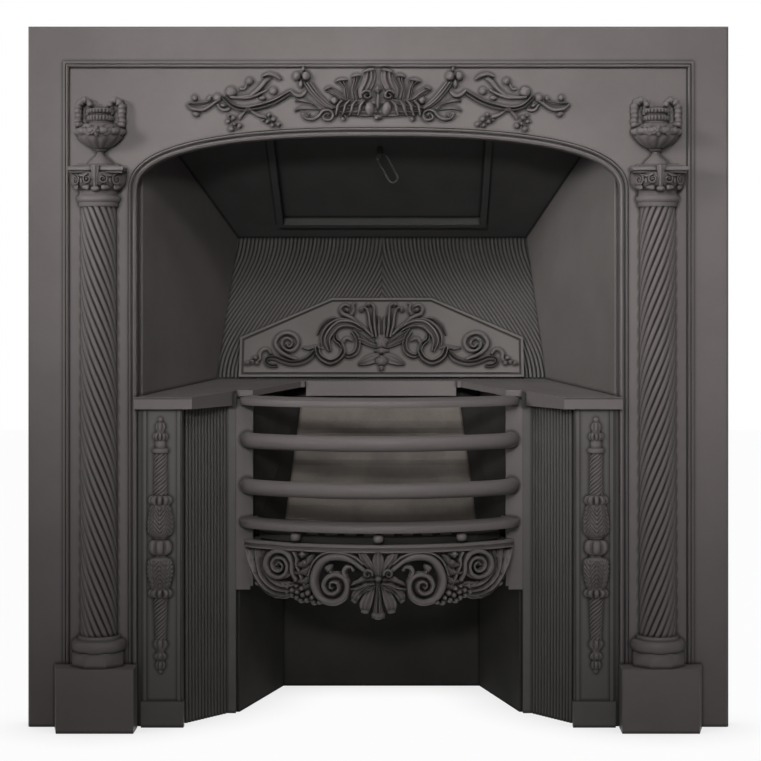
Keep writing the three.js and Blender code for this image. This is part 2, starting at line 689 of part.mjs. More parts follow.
const STAPLE_DROP = 9;
function damperStaple() {
  const surfaceAt = -CANOPY_PLATE;
  const eye = [RING_ALONG, surfaceAt + STAPLE_DROP];
  const outline = [
    [RING_ALONG - 8, surfaceAt], [RING_ALONG + 8, surfaceAt], [RING_ALONG + 7.5, surfaceAt + STAPLE_DROP],
    [RING_ALONG + 4, surfaceAt + STAPLE_DROP + 7], [RING_ALONG - 4, surfaceAt + STAPLE_DROP + 7],
    [RING_ALONG - 7.5, surfaceAt + STAPLE_DROP],
  ];
  return onCanopy(side(outline, -1.2, 1.2, [circle(eye[0], eye[1], 4.5, 12)]));
}
add('damper_staple', damperStaple());

const ringEye = new THREE.Vector3(0, RING_ALONG, STAPLE_DROP - CANOPY_PLATE).applyMatrix4(canopyFrame);

function damperRing() {
  const straight = 31;
  const half = 7;
  const lean = 0.52;
  const wire = 1.6;
  const points = Array.from({ length: 20 }, (_, i) => {
    const t = (2 * Math.PI * i) / 20;
    const along = half * (1 - Math.cos(t)) + (Math.cos(t) < -0.01 ? straight : 0);
    const across = half * Math.sin(t);
    return new THREE.Vector3(
      across * Math.cos(lean) + along * Math.sin(lean),
      0,
      across * Math.sin(lean) - along * Math.cos(lean),
    );
  });
  const path = new THREE.CatmullRomCurve3(points, true);
  const section = new THREE.Shape().absarc(0, 0, wire, 0, 2 * Math.PI);
  const loop = new THREE.ExtrudeGeometry(section, {
    extrudePath: path, steps: 36, curveSegments: 3, bevelEnabled: false,
  });
  return closed(loop).translate(ringEye.x, ringEye.y, ringEye.z);
}
add('damper_ring', damperRing());

// ---- grate front ----
// The line of the bow seen from above, from right to left, at a depth behind the bars' front.
function bowLine(inset, steps = 9, cornerSteps = 4) {
  const turnAngle = Math.asin(BOW_CORNER_X / BOW_RADIUS);
  const centreY = BOW_FRONT_Y + BOW_RADIUS;
  const radius = BOW_RADIUS - inset;
  const half = [];
  for (let i = 0; i <= steps; i += 1) {
    const angle = (turnAngle * i) / steps;
    half.push([radius * Math.sin(angle), centreY - radius * Math.cos(angle)]);
  }
  const cornerX = (BOW_RADIUS - BOW_CORNER_RADIUS) * Math.sin(turnAngle);
  const cornerY = centreY - (BOW_RADIUS - BOW_CORNER_RADIUS) * Math.cos(turnAngle);
  for (let i = 1; i <= cornerSteps; i += 1) {
    const angle = turnAngle + ((Math.PI / 2 - turnAngle) * i) / cornerSteps;
    half.push([
      cornerX + (BOW_CORNER_RADIUS - inset) * Math.sin(angle),
      cornerY - (BOW_CORNER_RADIUS - inset) * Math.cos(angle),
    ]);
  }
  half.push([half.at(-1)[0], PIT_FRONT_Y - GAP]);
  const left = half.slice(1).map(([x, y]) => [-x, y]).reverse();
  return [...left, ...half];
}

const barOf = (profile) => swept(bowLine(0), profile, level);

const roundSection = (z, sides = 8) => circle(BAR_DIAMETER / 2, z, BAR_DIAMETER / 2, sides);
add('top_bar', barOf([[0, 440], [20, 440], [20, 452], [17, 453.5], [2, 449.5], [0, 448]]));
add('upper_round_bar', barOf(roundSection(390)));
add('lower_round_bar', barOf(roundSection(325)));
add('bottom_bar', barOf([[0, 268], [26, 268], [26, 280], [23, 281.5], [2, 277.5], [0, 276]]));

const stilePlan = rectangle(STILE_IN, STILE_OUT, PIT_FRONT_Y, PIT_FRONT_Y + 8.4);
addPair('stile', surface(joined([
  slab(stilePlan, STILE_FOOT + 5, STILE_TOP),
  slab(rectangle(STILE_IN + 4, STILE_OUT, PIT_FRONT_Y, PIT_FRONT_Y + 8.4), STILE_FOOT, STILE_FOOT + 6),
].map(solid))));

// ---- fret ----
const FRET_INSET = 4;
const FRET_THICK = 8;
const FRET_TOP = 252;

// Puts a point of the flat fret, (along, up, depth), on the bow.
function onBow(along, up, depth) {
  const inset = FRET_INSET + depth;
  const angle = along / BOW_RADIUS;
  const turnAngle = Math.asin(BOW_CORNER_X / BOW_RADIUS);
  const centreY = BOW_FRONT_Y + BOW_RADIUS;
  const clamped = Math.max(-turnAngle, Math.min(turnAngle, angle));
  const rest = (Math.abs(angle) - Math.abs(clamped)) * BOW_RADIUS / BOW_CORNER_RADIUS;
  const bend = Math.min(rest, Math.PI / 2 - turnAngle);
  const hand = Math.sign(angle) || 1;
  const full = Math.abs(clamped) + bend;
  const baseX = (BOW_RADIUS - BOW_CORNER_RADIUS) * Math.sin(Math.abs(clamped));
  const baseY = centreY - (BOW_RADIUS - BOW_CORNER_RADIUS) * Math.cos(clamped);
  const reach = BOW_CORNER_RADIUS - inset;
  const straight = (rest - bend) * BOW_CORNER_RADIUS;
  return [
    hand * (baseX + reach * Math.sin(full)),
    baseY - reach * Math.cos(full) + straight,
    up,
  ];
}

// A flat ribbon along a curve, as an outline: half the width to each side.
function ribbon(points, widthAt) {
  const sides = points.map((point, i) => {
    const before = points[Math.max(i - 1, 0)];
    const after = points[Math.min(i + 1, points.length - 1)];
    const run = new THREE.Vector2(after[0] - before[0], after[1] - before[1]).normalize();
    const half = widthAt(i / (points.length - 1)) / 2;
    return [
      [point[0] - run.y * half, point[1] + run.x * half],
      [point[0] + run.y * half, point[1] - run.x * half],
    ];
  });
  return [...sides.map(([left]) => left), ...sides.map(([, right]) => right).reverse()];
}

function spiral(x, z, outer, inner, from, turns, steps) {
  return Array.from({ length: steps + 1 }, (_, i) => {
    const t = i / steps;
    const radius = outer + (inner - outer) * t;
    const angle = from + turns * 2 * Math.PI * t;
    return [x + radius * Math.cos(angle), z + radius * Math.sin(angle)];
  });
}

function petal(x, z, length, width, angle) {
  return Array.from({ length: 8 }, (_, i) => {
    const t = (2 * Math.PI * i) / 8;
    const along = (length / 2) * (1 - Math.cos(t));
    const across = (width / 2) * Math.sin(t) * (0.6 + 0.4 * (along / length));
    return [
      x + along * Math.cos(angle) - across * Math.sin(angle),
      z + along * Math.sin(angle) + across * Math.cos(angle),
    ];
  });
}

function fret() {
  const endAlong = 208;
  const cutPitch = 34;
  const outlines = [rectangle(-endAlong, endAlong, FRET_TOP - 11, FRET_TOP - GAP)];
  [-1, 1].forEach((hand) => {
    const flip = (outline) => outline.map(([x, z]) => [hand * x, z]);
    const grapes = [[88, 184], [97, 178], [106, 184], [114, 177], [105, 172], [122, 184]];
    const leafStem = [
      [104, 212], [108, 196], [124, 184], [146, 180], [168, 190], [184, 208], [198, 226],
    ];
    const overArch = [[8, 214], [24, 226], [40, 234], [58, 236], [76, 232], [92, 222], [104, 212]];
    outlines.push(
      flip(ribbon(spiral(58, 205, 31, 8, Math.PI * 0.75, -1.6, 17), (t) => 9 - 3 * t)),
      flip(circle(58, 205, 8, 8)),
      flip(ribbon(overArch, () => 9)),
      flip(ribbon(spiral(139, 215, 27, 7, Math.PI * 0.95, 1.5, 16), (t) => 9 - 3 * t)),
      flip(circle(139, 215, 7, 8)),
      flip(ribbon(leafStem, () => 12)),
      flip(ribbon([[160, 240], [176, 226], [190, 214], [200, 204]], () => 12)),
      flip(petal(92, 212, 44, 22, -0.9)),
      flip(petal(96, 224, 30, 20, 0.7)),
      ...grapes.map(([x, z]) => flip(circle(x, z, 6.5, 7))),
      flip(petal(0, 196, 42, 16, -0.95)),
      flip(petal(0, 200, 46, 18, -0.3)),
      flip(petal(0, 206, 36, 14, 0.75)),
    );
  });
  outlines.push(
    petal(0, 205, 54, 18, -Math.PI / 2),
    petal(0, 205, 38, 16, Math.PI / 2),
    circle(0, 203, 12, 12),
  );
  const flatFret = surface(joined(outlines.map((outline) => solid(extruded(outline, FRET_THICK)))));
  const half = Array.from({ length: 5 }, (_, i) => cutPitch * (i + 1)).concat([184, 192, 200]);
  const cuts = [0, ...half, ...half.map((x) => -x)];
  const pattern = slicedAcross(flatFret, cuts);
  const place = pattern.attributes.position;
  for (let i = 0; i < place.count; i += 1) {
    place.setXYZ(i, ...onBow(place.getX(i), place.getY(i), place.getZ(i)));
  }
  return closed(pattern);
}
add('fret', fret());

function fretBall(along) {
  const radius = (268 - FRET_TOP) / 2 - GAP;
  const [x, y] = onBow(along, 0, FRET_THICK / 2);
  return closed(new THREE.SphereGeometry(radius, 10, 6)).translate(x, y, (268 + FRET_TOP) / 2);
}
add('fret_ball_left', fretBall(-FRET_BALL_ALONG));
add('fret_ball_centre', fretBall(0));
add('fret_ball_right', fretBall(FRET_BALL_ALONG));

// ---- fire basket: loose grate and bricks ----
const pitHalfAt = (y) => PIT_FRONT_X - PIT_TAPER * (y - CHEEK_BACK_Y);

function sideBrick() {
  const ring = (z, backHalf) => [
    [STILE_IN, BRICK_FRONT_Y, z], [pitHalfAt(BRICK_FRONT_Y) - GAP, BRICK_FRONT_Y, z],
    [pitHalfAt(BRICK_FACE_Y) - GAP, BRICK_FACE_Y - GAP, z], [backHalf, BRICK_FACE_Y - GAP, z],
  ];
  return loft([ring(GRATE_BOTTOM, BRICK_HALF_BOTTOM), ring(BRICK_TOP, BRICK_HALF_TOP)]);
}
addPair('side_brick', sideBrick(), 0, fireBrick);

// The back brick bulges forward in level courses, fullest near the foot of each.
function backBrick() {
  const rearY = BRICK_BACK_Y - 3;
  const pitch = (BRICK_TOP - GRATE_BOTTOM) / BRICK_COURSES;
  const profile = [[rearY, GRATE_BOTTOM], [rearY, BRICK_TOP], [BRICK_FACE_Y + BRICK_BULGE, BRICK_TOP]];
  for (let course = BRICK_COURSES - 1; course >= 0; course -= 1) {
    const foot = GRATE_BOTTOM + pitch * course;
    profile.push([BRICK_FACE_Y + BRICK_BULGE / 3, foot + pitch * 0.72]);
    profile.push([BRICK_FACE_Y, foot + pitch * 0.4]);
    profile.push([BRICK_FACE_Y + BRICK_BULGE / 4, foot + pitch * 0.16]);
    profile.push([BRICK_FACE_Y + BRICK_BULGE, foot]);
  }
  const half = (y) => pitHalfAt(y) - GAP;
  const plan = slab([
    [-half(BRICK_FACE_Y), BRICK_FACE_Y], [half(BRICK_FACE_Y), BRICK_FACE_Y],
    [half(rearY), rearY], [-half(rearY), rearY],
  ], GRATE_BOTTOM, BRICK_TOP);
  return surface(solid(plan).intersect(solid(side(profile, -200, 200))));
}
add('back_brick', backBrick(), fireBrick());

function bottomGrate() {
  const reach = 148;
  const bow = bowLine(BAR_DIAMETER + 8, 8, 2).filter(([x]) => Math.abs(x) < reach);
  const plan = [
    ...bow, [171, 92], [171, BRICK_FRONT_Y], [139, 208],
    [-139, 208], [-171, BRICK_FRONT_Y], [-171, 92],
  ];
  const slots = [];
  const pitch = 27;
  for (let i = -4; i <= 4; i += 1) {
    const x = i * pitch;
    const front = BOW_FRONT_Y + BOW_RADIUS - Math.sqrt((BOW_RADIUS - 44) ** 2 - x ** 2);
    slots.push([[x - 6, front], [x + 6, front], [x + 6, 192], [x - 6, 192]]);
  }
  return slab(plan, GRATE_BOTTOM, GRATE_BOTTOM + GRATE_THICK, slots);
}
add('bottom_grate', bottomGrate(), castIron(SOOTED_IRON));

// ---- ash pit ----
function pitSide() {
  const inner = (y, inset = 0) => [pitHalfAt(y) - inset, y];
  const underHob = solid(side([
    [0, hobTopAt(0) - HOB_PLATE - GAP], [320, hobTopAt(320) - HOB_PLATE - GAP], [320, 600], [0, 600],
  ], -500, 500));
  const panel = solid(slab([
    inner(PIT_FRONT_Y + 8.7), inner(PIT_BACK_Y), [pitHalfAt(PIT_BACK_Y) + PIT_WALL, PIT_BACK_Y],
    [pitHalfAt(PIT_FRONT_Y) + PIT_WALL, PIT_FRONT_Y + 8.7],
  ], 0, 470)).subtract(underHob);
  const ledge = solid(slab([
    inner(BRICK_FRONT_Y, -2), inner(BRICK_BACK_Y, -2), inner(BRICK_BACK_Y, 28),
    [BRICK_HALF_BOTTOM - 12, BRICK_FACE_Y], [STILE_IN - 12, BRICK_FRONT_Y],
  ], GRATE_BOTTOM - 12, GRATE_BOTTOM - GAP));
  return surface(panel.add(ledge));
}
addPair('pit_side', pitSide(), SOOTED_IRON);
add('pit_back', block(
  -pitHalfAt(PIT_BACK_Y) - PIT_WALL, pitHalfAt(PIT_BACK_Y) + PIT_WALL,
  PIT_BACK_Y + GAP, PIT_BACK_Y + PIT_WALL, 0, LEDGE_UNDERSIDE - GAP,
), castIron(SOOTED_IRON));

// ---- nuts on the studs that hold the casing to the front frame ----
function flangeNut(x, y, z) {
  const nut = new THREE.CylinderGeometry(9, 9, 7, 6).translate(0, 3.5, 0);
  const stud = new THREE.CylinderGeometry(4, 4, 4, 8).translate(0, 8.5, 0);
  return surface(solid(nut).add(solid(stud))).translate(x, y, z);
}
const cheekFlangeY = 15.6 + GAP;
[520, 780].forEach((z, i) => {
  addPair(`cheek_nut_${i + 1}`, flangeNut(357.5, cheekFlangeY, z), SHADED_IRON);
});
addPair('canopy_nut', flangeNut(230, CANOPY_FRONT_Y + 7 + GAP, 882), SHADED_IRON);

export default fireplace;
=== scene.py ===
import math

import bmesh
import bpy
from mathutils import Matrix, Vector


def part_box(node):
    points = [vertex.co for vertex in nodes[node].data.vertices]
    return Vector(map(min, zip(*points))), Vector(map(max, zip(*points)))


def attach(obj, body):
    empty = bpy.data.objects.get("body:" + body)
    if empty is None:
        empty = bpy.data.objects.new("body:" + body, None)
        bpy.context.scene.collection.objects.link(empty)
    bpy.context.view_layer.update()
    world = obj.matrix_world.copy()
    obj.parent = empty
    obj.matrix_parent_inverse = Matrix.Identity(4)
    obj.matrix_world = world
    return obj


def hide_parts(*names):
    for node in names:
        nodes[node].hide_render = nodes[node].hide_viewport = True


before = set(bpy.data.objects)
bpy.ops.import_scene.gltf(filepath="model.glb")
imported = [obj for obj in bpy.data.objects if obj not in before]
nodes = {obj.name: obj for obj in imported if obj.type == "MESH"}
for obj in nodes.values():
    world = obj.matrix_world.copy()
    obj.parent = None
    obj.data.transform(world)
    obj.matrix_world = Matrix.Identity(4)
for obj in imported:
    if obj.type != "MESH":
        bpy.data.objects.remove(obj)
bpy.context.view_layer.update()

MM = 0.001
TURN = 2 * math.pi
SIDES = ((1, "right"), (-1, "left"))

# ---- driving sizes, in millimetres; Y is counted from the face of the front plate ----
PLINTH_DEPTH = 41
FACE_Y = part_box("plinth_block_right")[0].y / MM + PLINTH_DEPTH
GAP = 0.3
MERGE_REACH = 0.002

COLUMN_X = 384
COLUMN_Y = -2
BLOCK_TOP = 87
PEDESTAL_RADIUS = 37.5
SHAFT_BOTTOM = 126
SHAFT_TOP = 718
SHAFT_RADIUS = 25.2
SHAFT_GROOVE = 3.0
SHAFT_NARROWING = 0.04
SHAFT_LOBES = 16
SHAFT_LEAD = 342
CAPITAL_RADIUS = 38
CAPITAL_FRONT = 34
CAPITAL_SQUEEZE = 0.93
ABACUS_BACK_Y = 4
URN_BASE = 772
URN_X = COLUMN_X - 2.3
URN_RADIUS = 34
URN_FRONT = 33

BALUSTER_X = 299.5
BALUSTER_SQUEEZE = 0.8
TWIG_RIDGES = 8
TWIG_RIDGE_RADIUS = 2.1
TWIG_LEAD = 44

NICHE_HALF = 334.9
NICHE_TAPER = 0.2945
NICHE_OUTWARD = Vector((1, NICHE_TAPER, 0)).normalized()
CHEEK_REED_PITCH = 3.8
CHEEK_REED_FRONT = 24.5
PANEL_FOOT_Y = 285
PANEL_FOOT_Z = 468.8
PANEL_HEAD_Y = 371
PANEL_HEAD_Z = 685
PANEL_REED_PITCH = 6.06
PANEL_REED_SWAY = 92
PANEL_HALF = 260
CANOPY_SLOPE = 0.495
HOB_FRONT_Y = 10
HOB_FRONT_TOP = 455
HOB_RISE = 0.0473
HOB_UNDERSIDE = 438

CHEEK_START = (270, 27.3)
CHEEK_END = (219, 92)
CHEEK_REEDS = 13
# cement in the joints at the two ends of a cheek: from and to, across, front to back and upwards
FRONT_JOINT = ((269.6, 275.4), (27.1, 31.2), (0.2, HOB_UNDERSIDE - GAP))
STILE_JOINT = ((203, 212), (87, 99), (HOB_UNDERSIDE - 2, HOB_UNDERSIDE + 17))

BOW_FRONT_Y = -15
BOW_RADIUS = 295
BOW_CORNER_X = 174
BOW_CORNER_RADIUS = 60
BOW_END_Y = 92
BAR_DIAMETER = 22

FRIEZE_FOOT = 835
PLAQUE_FIELD = 7.3
FRET_INSET = 4
FRET_THICK = 7
FRET_CORNER_X = 171
FRET_CORNER_STRETCH = 1.7
FRET_RAIL_REACH = 212

RING_HALF = 7
RING_FLANK = 31
RING_LEAN = 0.52  # in radians
RING_WIRE = 1.6


def hob_top_at(y):
    return HOB_FRONT_TOP + HOB_RISE * (y - HOB_FRONT_Y)


def niche_half_at(y):
    return NICHE_HALF - NICHE_TAPER * y


def canopy_under(y):
    return PANEL_HEAD_Z + (PANEL_HEAD_Y - y) * CANOPY_SLOPE


def in_row(x, y, z):
    """A point counted from the face of the front plate, in metres in the row frame."""
    return Vector((x * MM, (y + FACE_Y) * MM, z * MM))


# ---- node trees ----
def socket_kind(value):
    """The kind of socket for a starting value; a word names a kind that starts without one."""
    if isinstance(value, str):
        return "NodeSocket" + value
    if isinstance(value, tuple):
        return "NodeSocketColor" if len(value) == 4 else "NodeSocketVector"
    return "NodeSocketInt" if isinstance(value, int) else "NodeSocketFloat"


class Tree:
    """A short way to write a node tree in order, from its named inputs to its named outputs."""

    def __init__(self, name, kind, inputs, outputs):
        self.tree = bpy.data.node_groups.new(name, kind)
        for direction, sockets in (("INPUT", inputs), ("OUTPUT", outputs)):
            for label, value in sockets.items():
                made = self.tree.interface.new_socket(
                    name=label, in_out=direction, socket_type=socket_kind(value))
                if not isinstance(value, str):
                    made.default_value = value
        self.given = self.tree.nodes.new("NodeGroupInput").outputs
        self.end = self.tree.nodes.new("NodeGroupOutput")

    def node(self, kind, _out=0, _set=None, **inputs):
        """Adds a node and returns one of its outputs; i0, i1 and so on name inputs by their number."""
        made = self.tree.nodes.new(kind)
        for key, value in (_set or {}).items():
            setattr(made, key, value)
        for key, value in inputs.items():
            entry = made.inputs[int(key[1:]) if key[0] == "i" and key[1:].isdigit() else key]
            if isinstance(value, bpy.types.NodeSocket):
                self.tree.links.new(value, entry)
            else:
                entry.default_value = value
        return made.outputs[_out]

    def math(self, operation, *values):
        return self.node("ShaderNodeMath", _set={"operation": operation},
                         **{f"i{k}": value for k, value in enumerate(values)})

    def vector(self, **parts):
        return self.node("ShaderNodeCombineXYZ", **parts)

    def finish(self, name, value):
        self.tree.links.new(value, self.end.inputs[name])


class RuleTree(Tree):
    """A geometry tree that builds one piece from its sizes, in the finish it is given."""

    def __init__(self, name, sizes):
        inputs = {"Geometry": "Geometry", **sizes, "Finish": "Material"}
        super().__init__(name, "GeometryNodeTree", inputs, {"Geometry": "Geometry"})

    def straight(self, axis, count):
        """A line along an axis, as long as the given height, with as many points as asked for."""
        line = self.node("GeometryNodeCurvePrimitiveLine", End=self.vector(**{axis: self.given["Height"]}))
        return self.node("GeometryNodeResampleCurve", Curve=line, Count=count)

    def sweep(self, line, section, **more):
        return self.node("GeometryNodeCurveToMesh", Curve=line,
                         **{"Profile Curve": section, "Fill Caps": True, **more})

    def row(self, start, step):
        return self.node("GeometryNodeMeshLine", _set={"mode": "OFFSET"}, Count=self.given["Count"],
                         **{"Start Location": start, "Offset": step})

    def cast(self, geometry):
        """Ends the tree: real geometry in the given finish."""
        real = self.node("GeometryNodeRealizeInstances", Geometry=geometry)
        self.finish("Geometry", self.node("GeometryNodeSetMaterial", Geometry=real,
                                          Material=self.given["Finish"]))
        return self.tree


# ---- finishes ----
def build_skin_and_shade_group():
    """Cast skin and painted shade: a fine grain, broad stains, a lighter tint on faces that point up, and
    painted shade that darkens recesses towards black.
    """
    skin = Tree("cast_skin_and_painted_shade", "ShaderNodeTree", {
        "Base": (0.1, 0.1, 0.1, 1), "Stain": (0.05, 0.05, 0.05, 1), "Upward tint": (0.2, 0.19, 0.18, 1),
        "Stain amount": 0.3, "Upward tint amount": 0.15, "Painted shade amount": 1.0, "Painted shade reach": 0.005,
        "Grain height": 0.1, "Roughness": 0.55,
    }, {"Color": "Color", "Rough": "Float", "Normal": "Vector"})
    given = skin.given

    def blend(share, under, over):
        return skin.node("ShaderNodeMix", _out=2, _set={"data_type": "RGBA"}, i0=share, i6=under, i7=over)

    place = skin.node("ShaderNodeTexCoord", _out=3)
    grain = skin.node("ShaderNodeTexNoise", Vector=place, Scale=420.0, Detail=3.0)
    stains = skin.node("ShaderNodeTexNoise", Vector=place, Scale=9.0, Detail=6.0, Roughness=0.62)
    patches = skin.node("ShaderNodeMapRange", Value=stains, **{"From Min": 0.42, "From Max": 0.68})
    stained = blend(skin.math("MULTIPLY", patches, given["Stain amount"]), given["Base"], given["Stain"])
    normal = skin.node("ShaderNodeNewGeometry", _out=1)
    upward = skin.node("ShaderNodeSeparateXYZ", _out=2, Vector=normal)
    # A lighter tint on faces that point up, mixed in by how far they face up.
    facing_up = skin.node("ShaderNodeMapRange", Value=upward, **{"From Min": 0.35, "From Max": 1.0})
    upward_tinted = blend(skin.math("MULTIPLY", facing_up, given["Upward tint amount"]), stained, given["Upward tint"])
    # Painted shade: the colour is blended towards black in recesses, as far as ambient occlusion finds them
    # closed in within the reach.
    openness = skin.node("ShaderNodeAmbientOcclusion", _out=1, _set={"samples": 8},
                         Distance=given["Painted shade reach"])
    closed_in = skin.math("POWER", skin.math("SUBTRACT", 1.0, openness), 0.5)
    painted_shade = skin.math("MULTIPLY", closed_in, given["Painted shade amount"])
    skin.finish("Color", blend(painted_shade, upward_tinted, (0, 0, 0, 1)))
    uneven = skin.math("MULTIPLY_ADD", stains, 0.25, -0.12)
    skin.finish("Rough", skin.math("ADD", given["Roughness"], uneven))
    skin.finish("Normal", skin.node("ShaderNodeBump", Height=grain, Strength=given["Grain height"],
                                    Distance=0.0006))
    return skin.tree


SKIN_AND_SHADE = build_skin_and_shade_group()
SHEEN = 0.14
# How much lighter than the base colour the upward tint is.
UPWARD_LIGHTER = 1.9


def srgb(*levels):
    """A colour written as it is seen, from 0 to 255, for a material."""
    return tuple(v / 255 / 12.92 if v < 11 else ((v / 255 + 0.055) / 1.055) ** 2.4 for v in levels) + (1,)


def finish_of(name, base, stain, roughness, upward_tint=0.12, stains=0.35, grain=0.25):
    """A material of the shared skin and painted shade, with its own colours and amounts."""
    made = bpy.data.materials.new(name)
    made.use_nodes = True
    tree = made.node_tree
    shader = tree.nodes["Principled BSDF"]
    skin = tree.nodes.new("ShaderNodeGroup")
    skin.node_tree = SKIN_AND_SHADE
    for label, value in {
        "Base": base, "Stain": stain, "Upward tint": (*(min(1, part * UPWARD_LIGHTER) for part in base[:3]), 1),
        "Stain amount": stains, "Upward tint amount": upward_tint, "Grain height": grain, "Roughness": roughness,
    }.items():
        skin.inputs[label].default_value = value
    shader.inputs["Specular IOR Level"].default_value = SHEEN
    for given, taken in (("Color", "Base Color"), ("Rough", "Roughness"), ("Normal", "Normal")):
        tree.links.new(skin.outputs[given], shader.inputs[taken])
    return made


FACE_IRON = finish_of("blackleaded_iron", srgb(115, 109, 108), srgb(99, 94, 92), 0.42)
# Painted shade: a darker copy of the face iron for the upper cheeks, the plaque and the reeds that sit back
# in the niche.
SHADED_NICHE_IRON = finish_of("niche_iron_painted_shade", srgb(111, 106, 104), srgb(92, 88, 86), 0.5)
# Painted shade: a darker copy of the face iron for the back panel deep in the niche.
SHADED_PANEL_IRON = finish_of("panel_iron_painted_shade", srgb(99, 96, 95), srgb(84, 81, 79), 0.5)
# Darker iron for the hob pilasters and fluted cheeks: a darker field on the pilaster, and painted shade on
# the lower cheeks.
DARK_SHADED_HOB_IRON = finish_of("hob_iron_dark_and_painted_shade", srgb(101, 98, 96), srgb(84, 81, 79), 0.48)
# Painted shade: a much darker copy of the face iron for the canopy and the damper, which face down under the
# arch.
SHADED_CANOPY_IRON = finish_of("canopy_iron_painted_shade", srgb(82, 81, 80), srgb(64, 63, 62), 0.6, upward_tint=0.0)
# Dark iron for the bottom grate, the ash pit and the cement joints: soot and dark cement, with painted shade
# for the pit that sits in shadow.
SOOTED_SHADED_IRON = finish_of("sooted_iron", srgb(68, 66, 64), srgb(48, 47, 46), 0.8)
FIRE_BRICK = finish_of("smoked_brick", srgb(120, 113, 107), srgb(76, 72, 69), 0.92, stains=0.7, grain=0.6)
# Painted shade: the side bricks take a dark copy of the brick, since they face inward and stand in shadow.
SHADED_BRICK = finish_of("painted_shade_brick", srgb(54, 52, 50), srgb(38, 37, 36), 0.9, stains=0.7, grain=0.6)
NODE_FINISHES = (
    (SHADED_BRICK, ("side_brick",)),
    (FIRE_BRICK, ("back_brick",)),
    (SOOTED_SHADED_IRON, ("bottom_grate", "pit_")),
    (SHADED_CANOPY_IRON, ("canopy", "cheek_nut", "damper_flap", "damper_hinge_rod", "damper_staple")),
    (SHADED_NICHE_IRON, ("upper_cheek", "back_plaque")),
    (SHADED_PANEL_IRON, ("back_panel",)),
    (DARK_SHADED_HOB_IRON, ("hob_pilaster", "fluted_cheek")),
)


def dress_nodes():
    """Each CAD node takes the finish that lists the start of its name, or else the face iron."""
    for name, node in nodes.items():
        finish = next((made for made, starts in NODE_FINISHES if name.startswith(starts)), FACE_IRON)
        node.data.materials.clear()
        node.data.materials.append(finish)


# ---- skins: points in millimetres and faces, and the meshes made of them ----
class Skin:
    """Closed shells gathered for one piece."""

    def __init__(self):
        self.points = []
        self.faces = []

    def wall(self, rings):
        """Joins rings with as many points each; returns the first and the last ring's point numbers."""
        size = len(rings[0])
        start = len(self.points)
        last = start + (len(rings) - 1) * size
        for ring in rings:
            self.points.extend(ring)
        for foot in range(start, last, size):
            for j in range(size):
                a, b = foot + j, foot + (j + 1) % size
                self.faces.append((a, b, b + size, a + size))
        return range(start, start + size), range(last, last + size)

    def tube(self, rings):
        """A wall that is closed at both ends."""
        first, last = self.wall(rings)
        self.faces.append(tuple(first)[::-1])
        self.faces.append(tuple(last))

    def dome(self, rings, top):
        """A wall that closes over a top point, with a flat underside."""
        first, last = self.wall(rings)
        self.points.append(top)
        for a, b in zip(last, (*last[1:], last[0])):
            self.faces.append((a, b, last[-1] + 1))
        self.faces.append(tuple(first)[::-1])

    def add(self, other):
        start = len(self.points)
        self.points.extend(other.points)
        self.faces.extend(tuple(i + start for i in face) for face in other.faces)

    def mesh(self, name):
        mesh = bpy.data.meshes.new(name)
        mesh.from_pydata([in_row(*point) for point in self.points], [], self.faces)
        return mesh


def reshaped(mesh, *steps):
    """Opens a mesh, runs the steps on it in order and writes it back."""
    shell = bmesh.new()
    shell.from_mesh(mesh)
    for step in steps:
        step(shell)
    shell.to_mesh(mesh)
    shell.free()
    return mesh


def merge_doubles(shell):
    bmesh.ops.remove_doubles(shell, verts=shell.verts, dist=MERGE_REACH * MM)


def turn_out(shell):
    bmesh.ops.recalc_face_normals(shell, faces=shell.faces)


def cut_beyond(point, outward):
    """A step that takes away what lies beyond a plane, and closes the cut."""
    def cut(shell):
        everything = shell.verts[:] + shell.edges[:] + shell.faces[:]
        bmesh.ops.bisect_plane(shell, geom=everything, plane_co=point, plane_no=outward, clear_outer=True)
        rims = [edge for edge in shell.edges if edge.is_boundary]
        bmesh.ops.holes_fill(shell, edges=rims, sides=0)
    return cut


def cut_at_plate(mesh):
    """Keeps what stands in front of the front plate."""
    return reshaped(mesh, merge_doubles, cut_beyond(in_row(0, -GAP, 0), (0, 1, 0)))


def round_below(crease):
    """A step that rounds the shading of all edges that turn by less than the crease angle."""
    def shade(shell):
        for face in shell.faces:
            face.smooth = True
        for edge in shell.edges:
            edge.smooth = edge.calc_face_angle(math.pi) < math.radians(crease)
    return shade


def add_piece(name, mesh, finish, body="casing", replaces=(), crease=38):
    """Makes a mesh a finished piece of a body, in place of the CAD nodes that it replaces."""
    reshaped(mesh, merge_doubles, turn_out, round_below(crease))
    mesh.materials.clear()
    mesh.materials.append(finish)
    piece = bpy.data.objects.new(name, mesh)
    bpy.context.scene.collection.objects.link(piece)
    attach(piece, body)
    if replaces:
        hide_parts(*replaces)


def joined(meshes, name):
    whole = bmesh.new()
    for mesh in meshes:
        whole.from_mesh(mesh)
    result = bpy.data.meshes.new(name)
    whole.to_mesh(result)
    whole.free()
    return result


def grown(name, tree, sizes, finish):
    """Runs a rule tree and returns the plain mesh that it makes; lengths are given in metres."""
    carrier = bpy.data.objects.new(name, bpy.data.meshes.new(name))
    bpy.context.scene.collection.objects.link(carrier)
    modifier = carrier.modifiers.new("rule", "NODES")
    modifier.node_group = tree
    settings = {**sizes, "Finish": finish}
    for item in tree.interface.items_tree:
        if item.item_type == "SOCKET" and item.in_out == "INPUT" and item.name in settings:
            modifier[item.identifier] = settings[item.name]
    carrier.update_tag()
    bpy.context.view_layer.update()
    graph = bpy.context.evaluated_depsgraph_get()
    mesh = bpy.data.meshes.new_from_object(carrier.evaluated_get(graph))
    bpy.data.objects.remove(carrier)
    return mesh


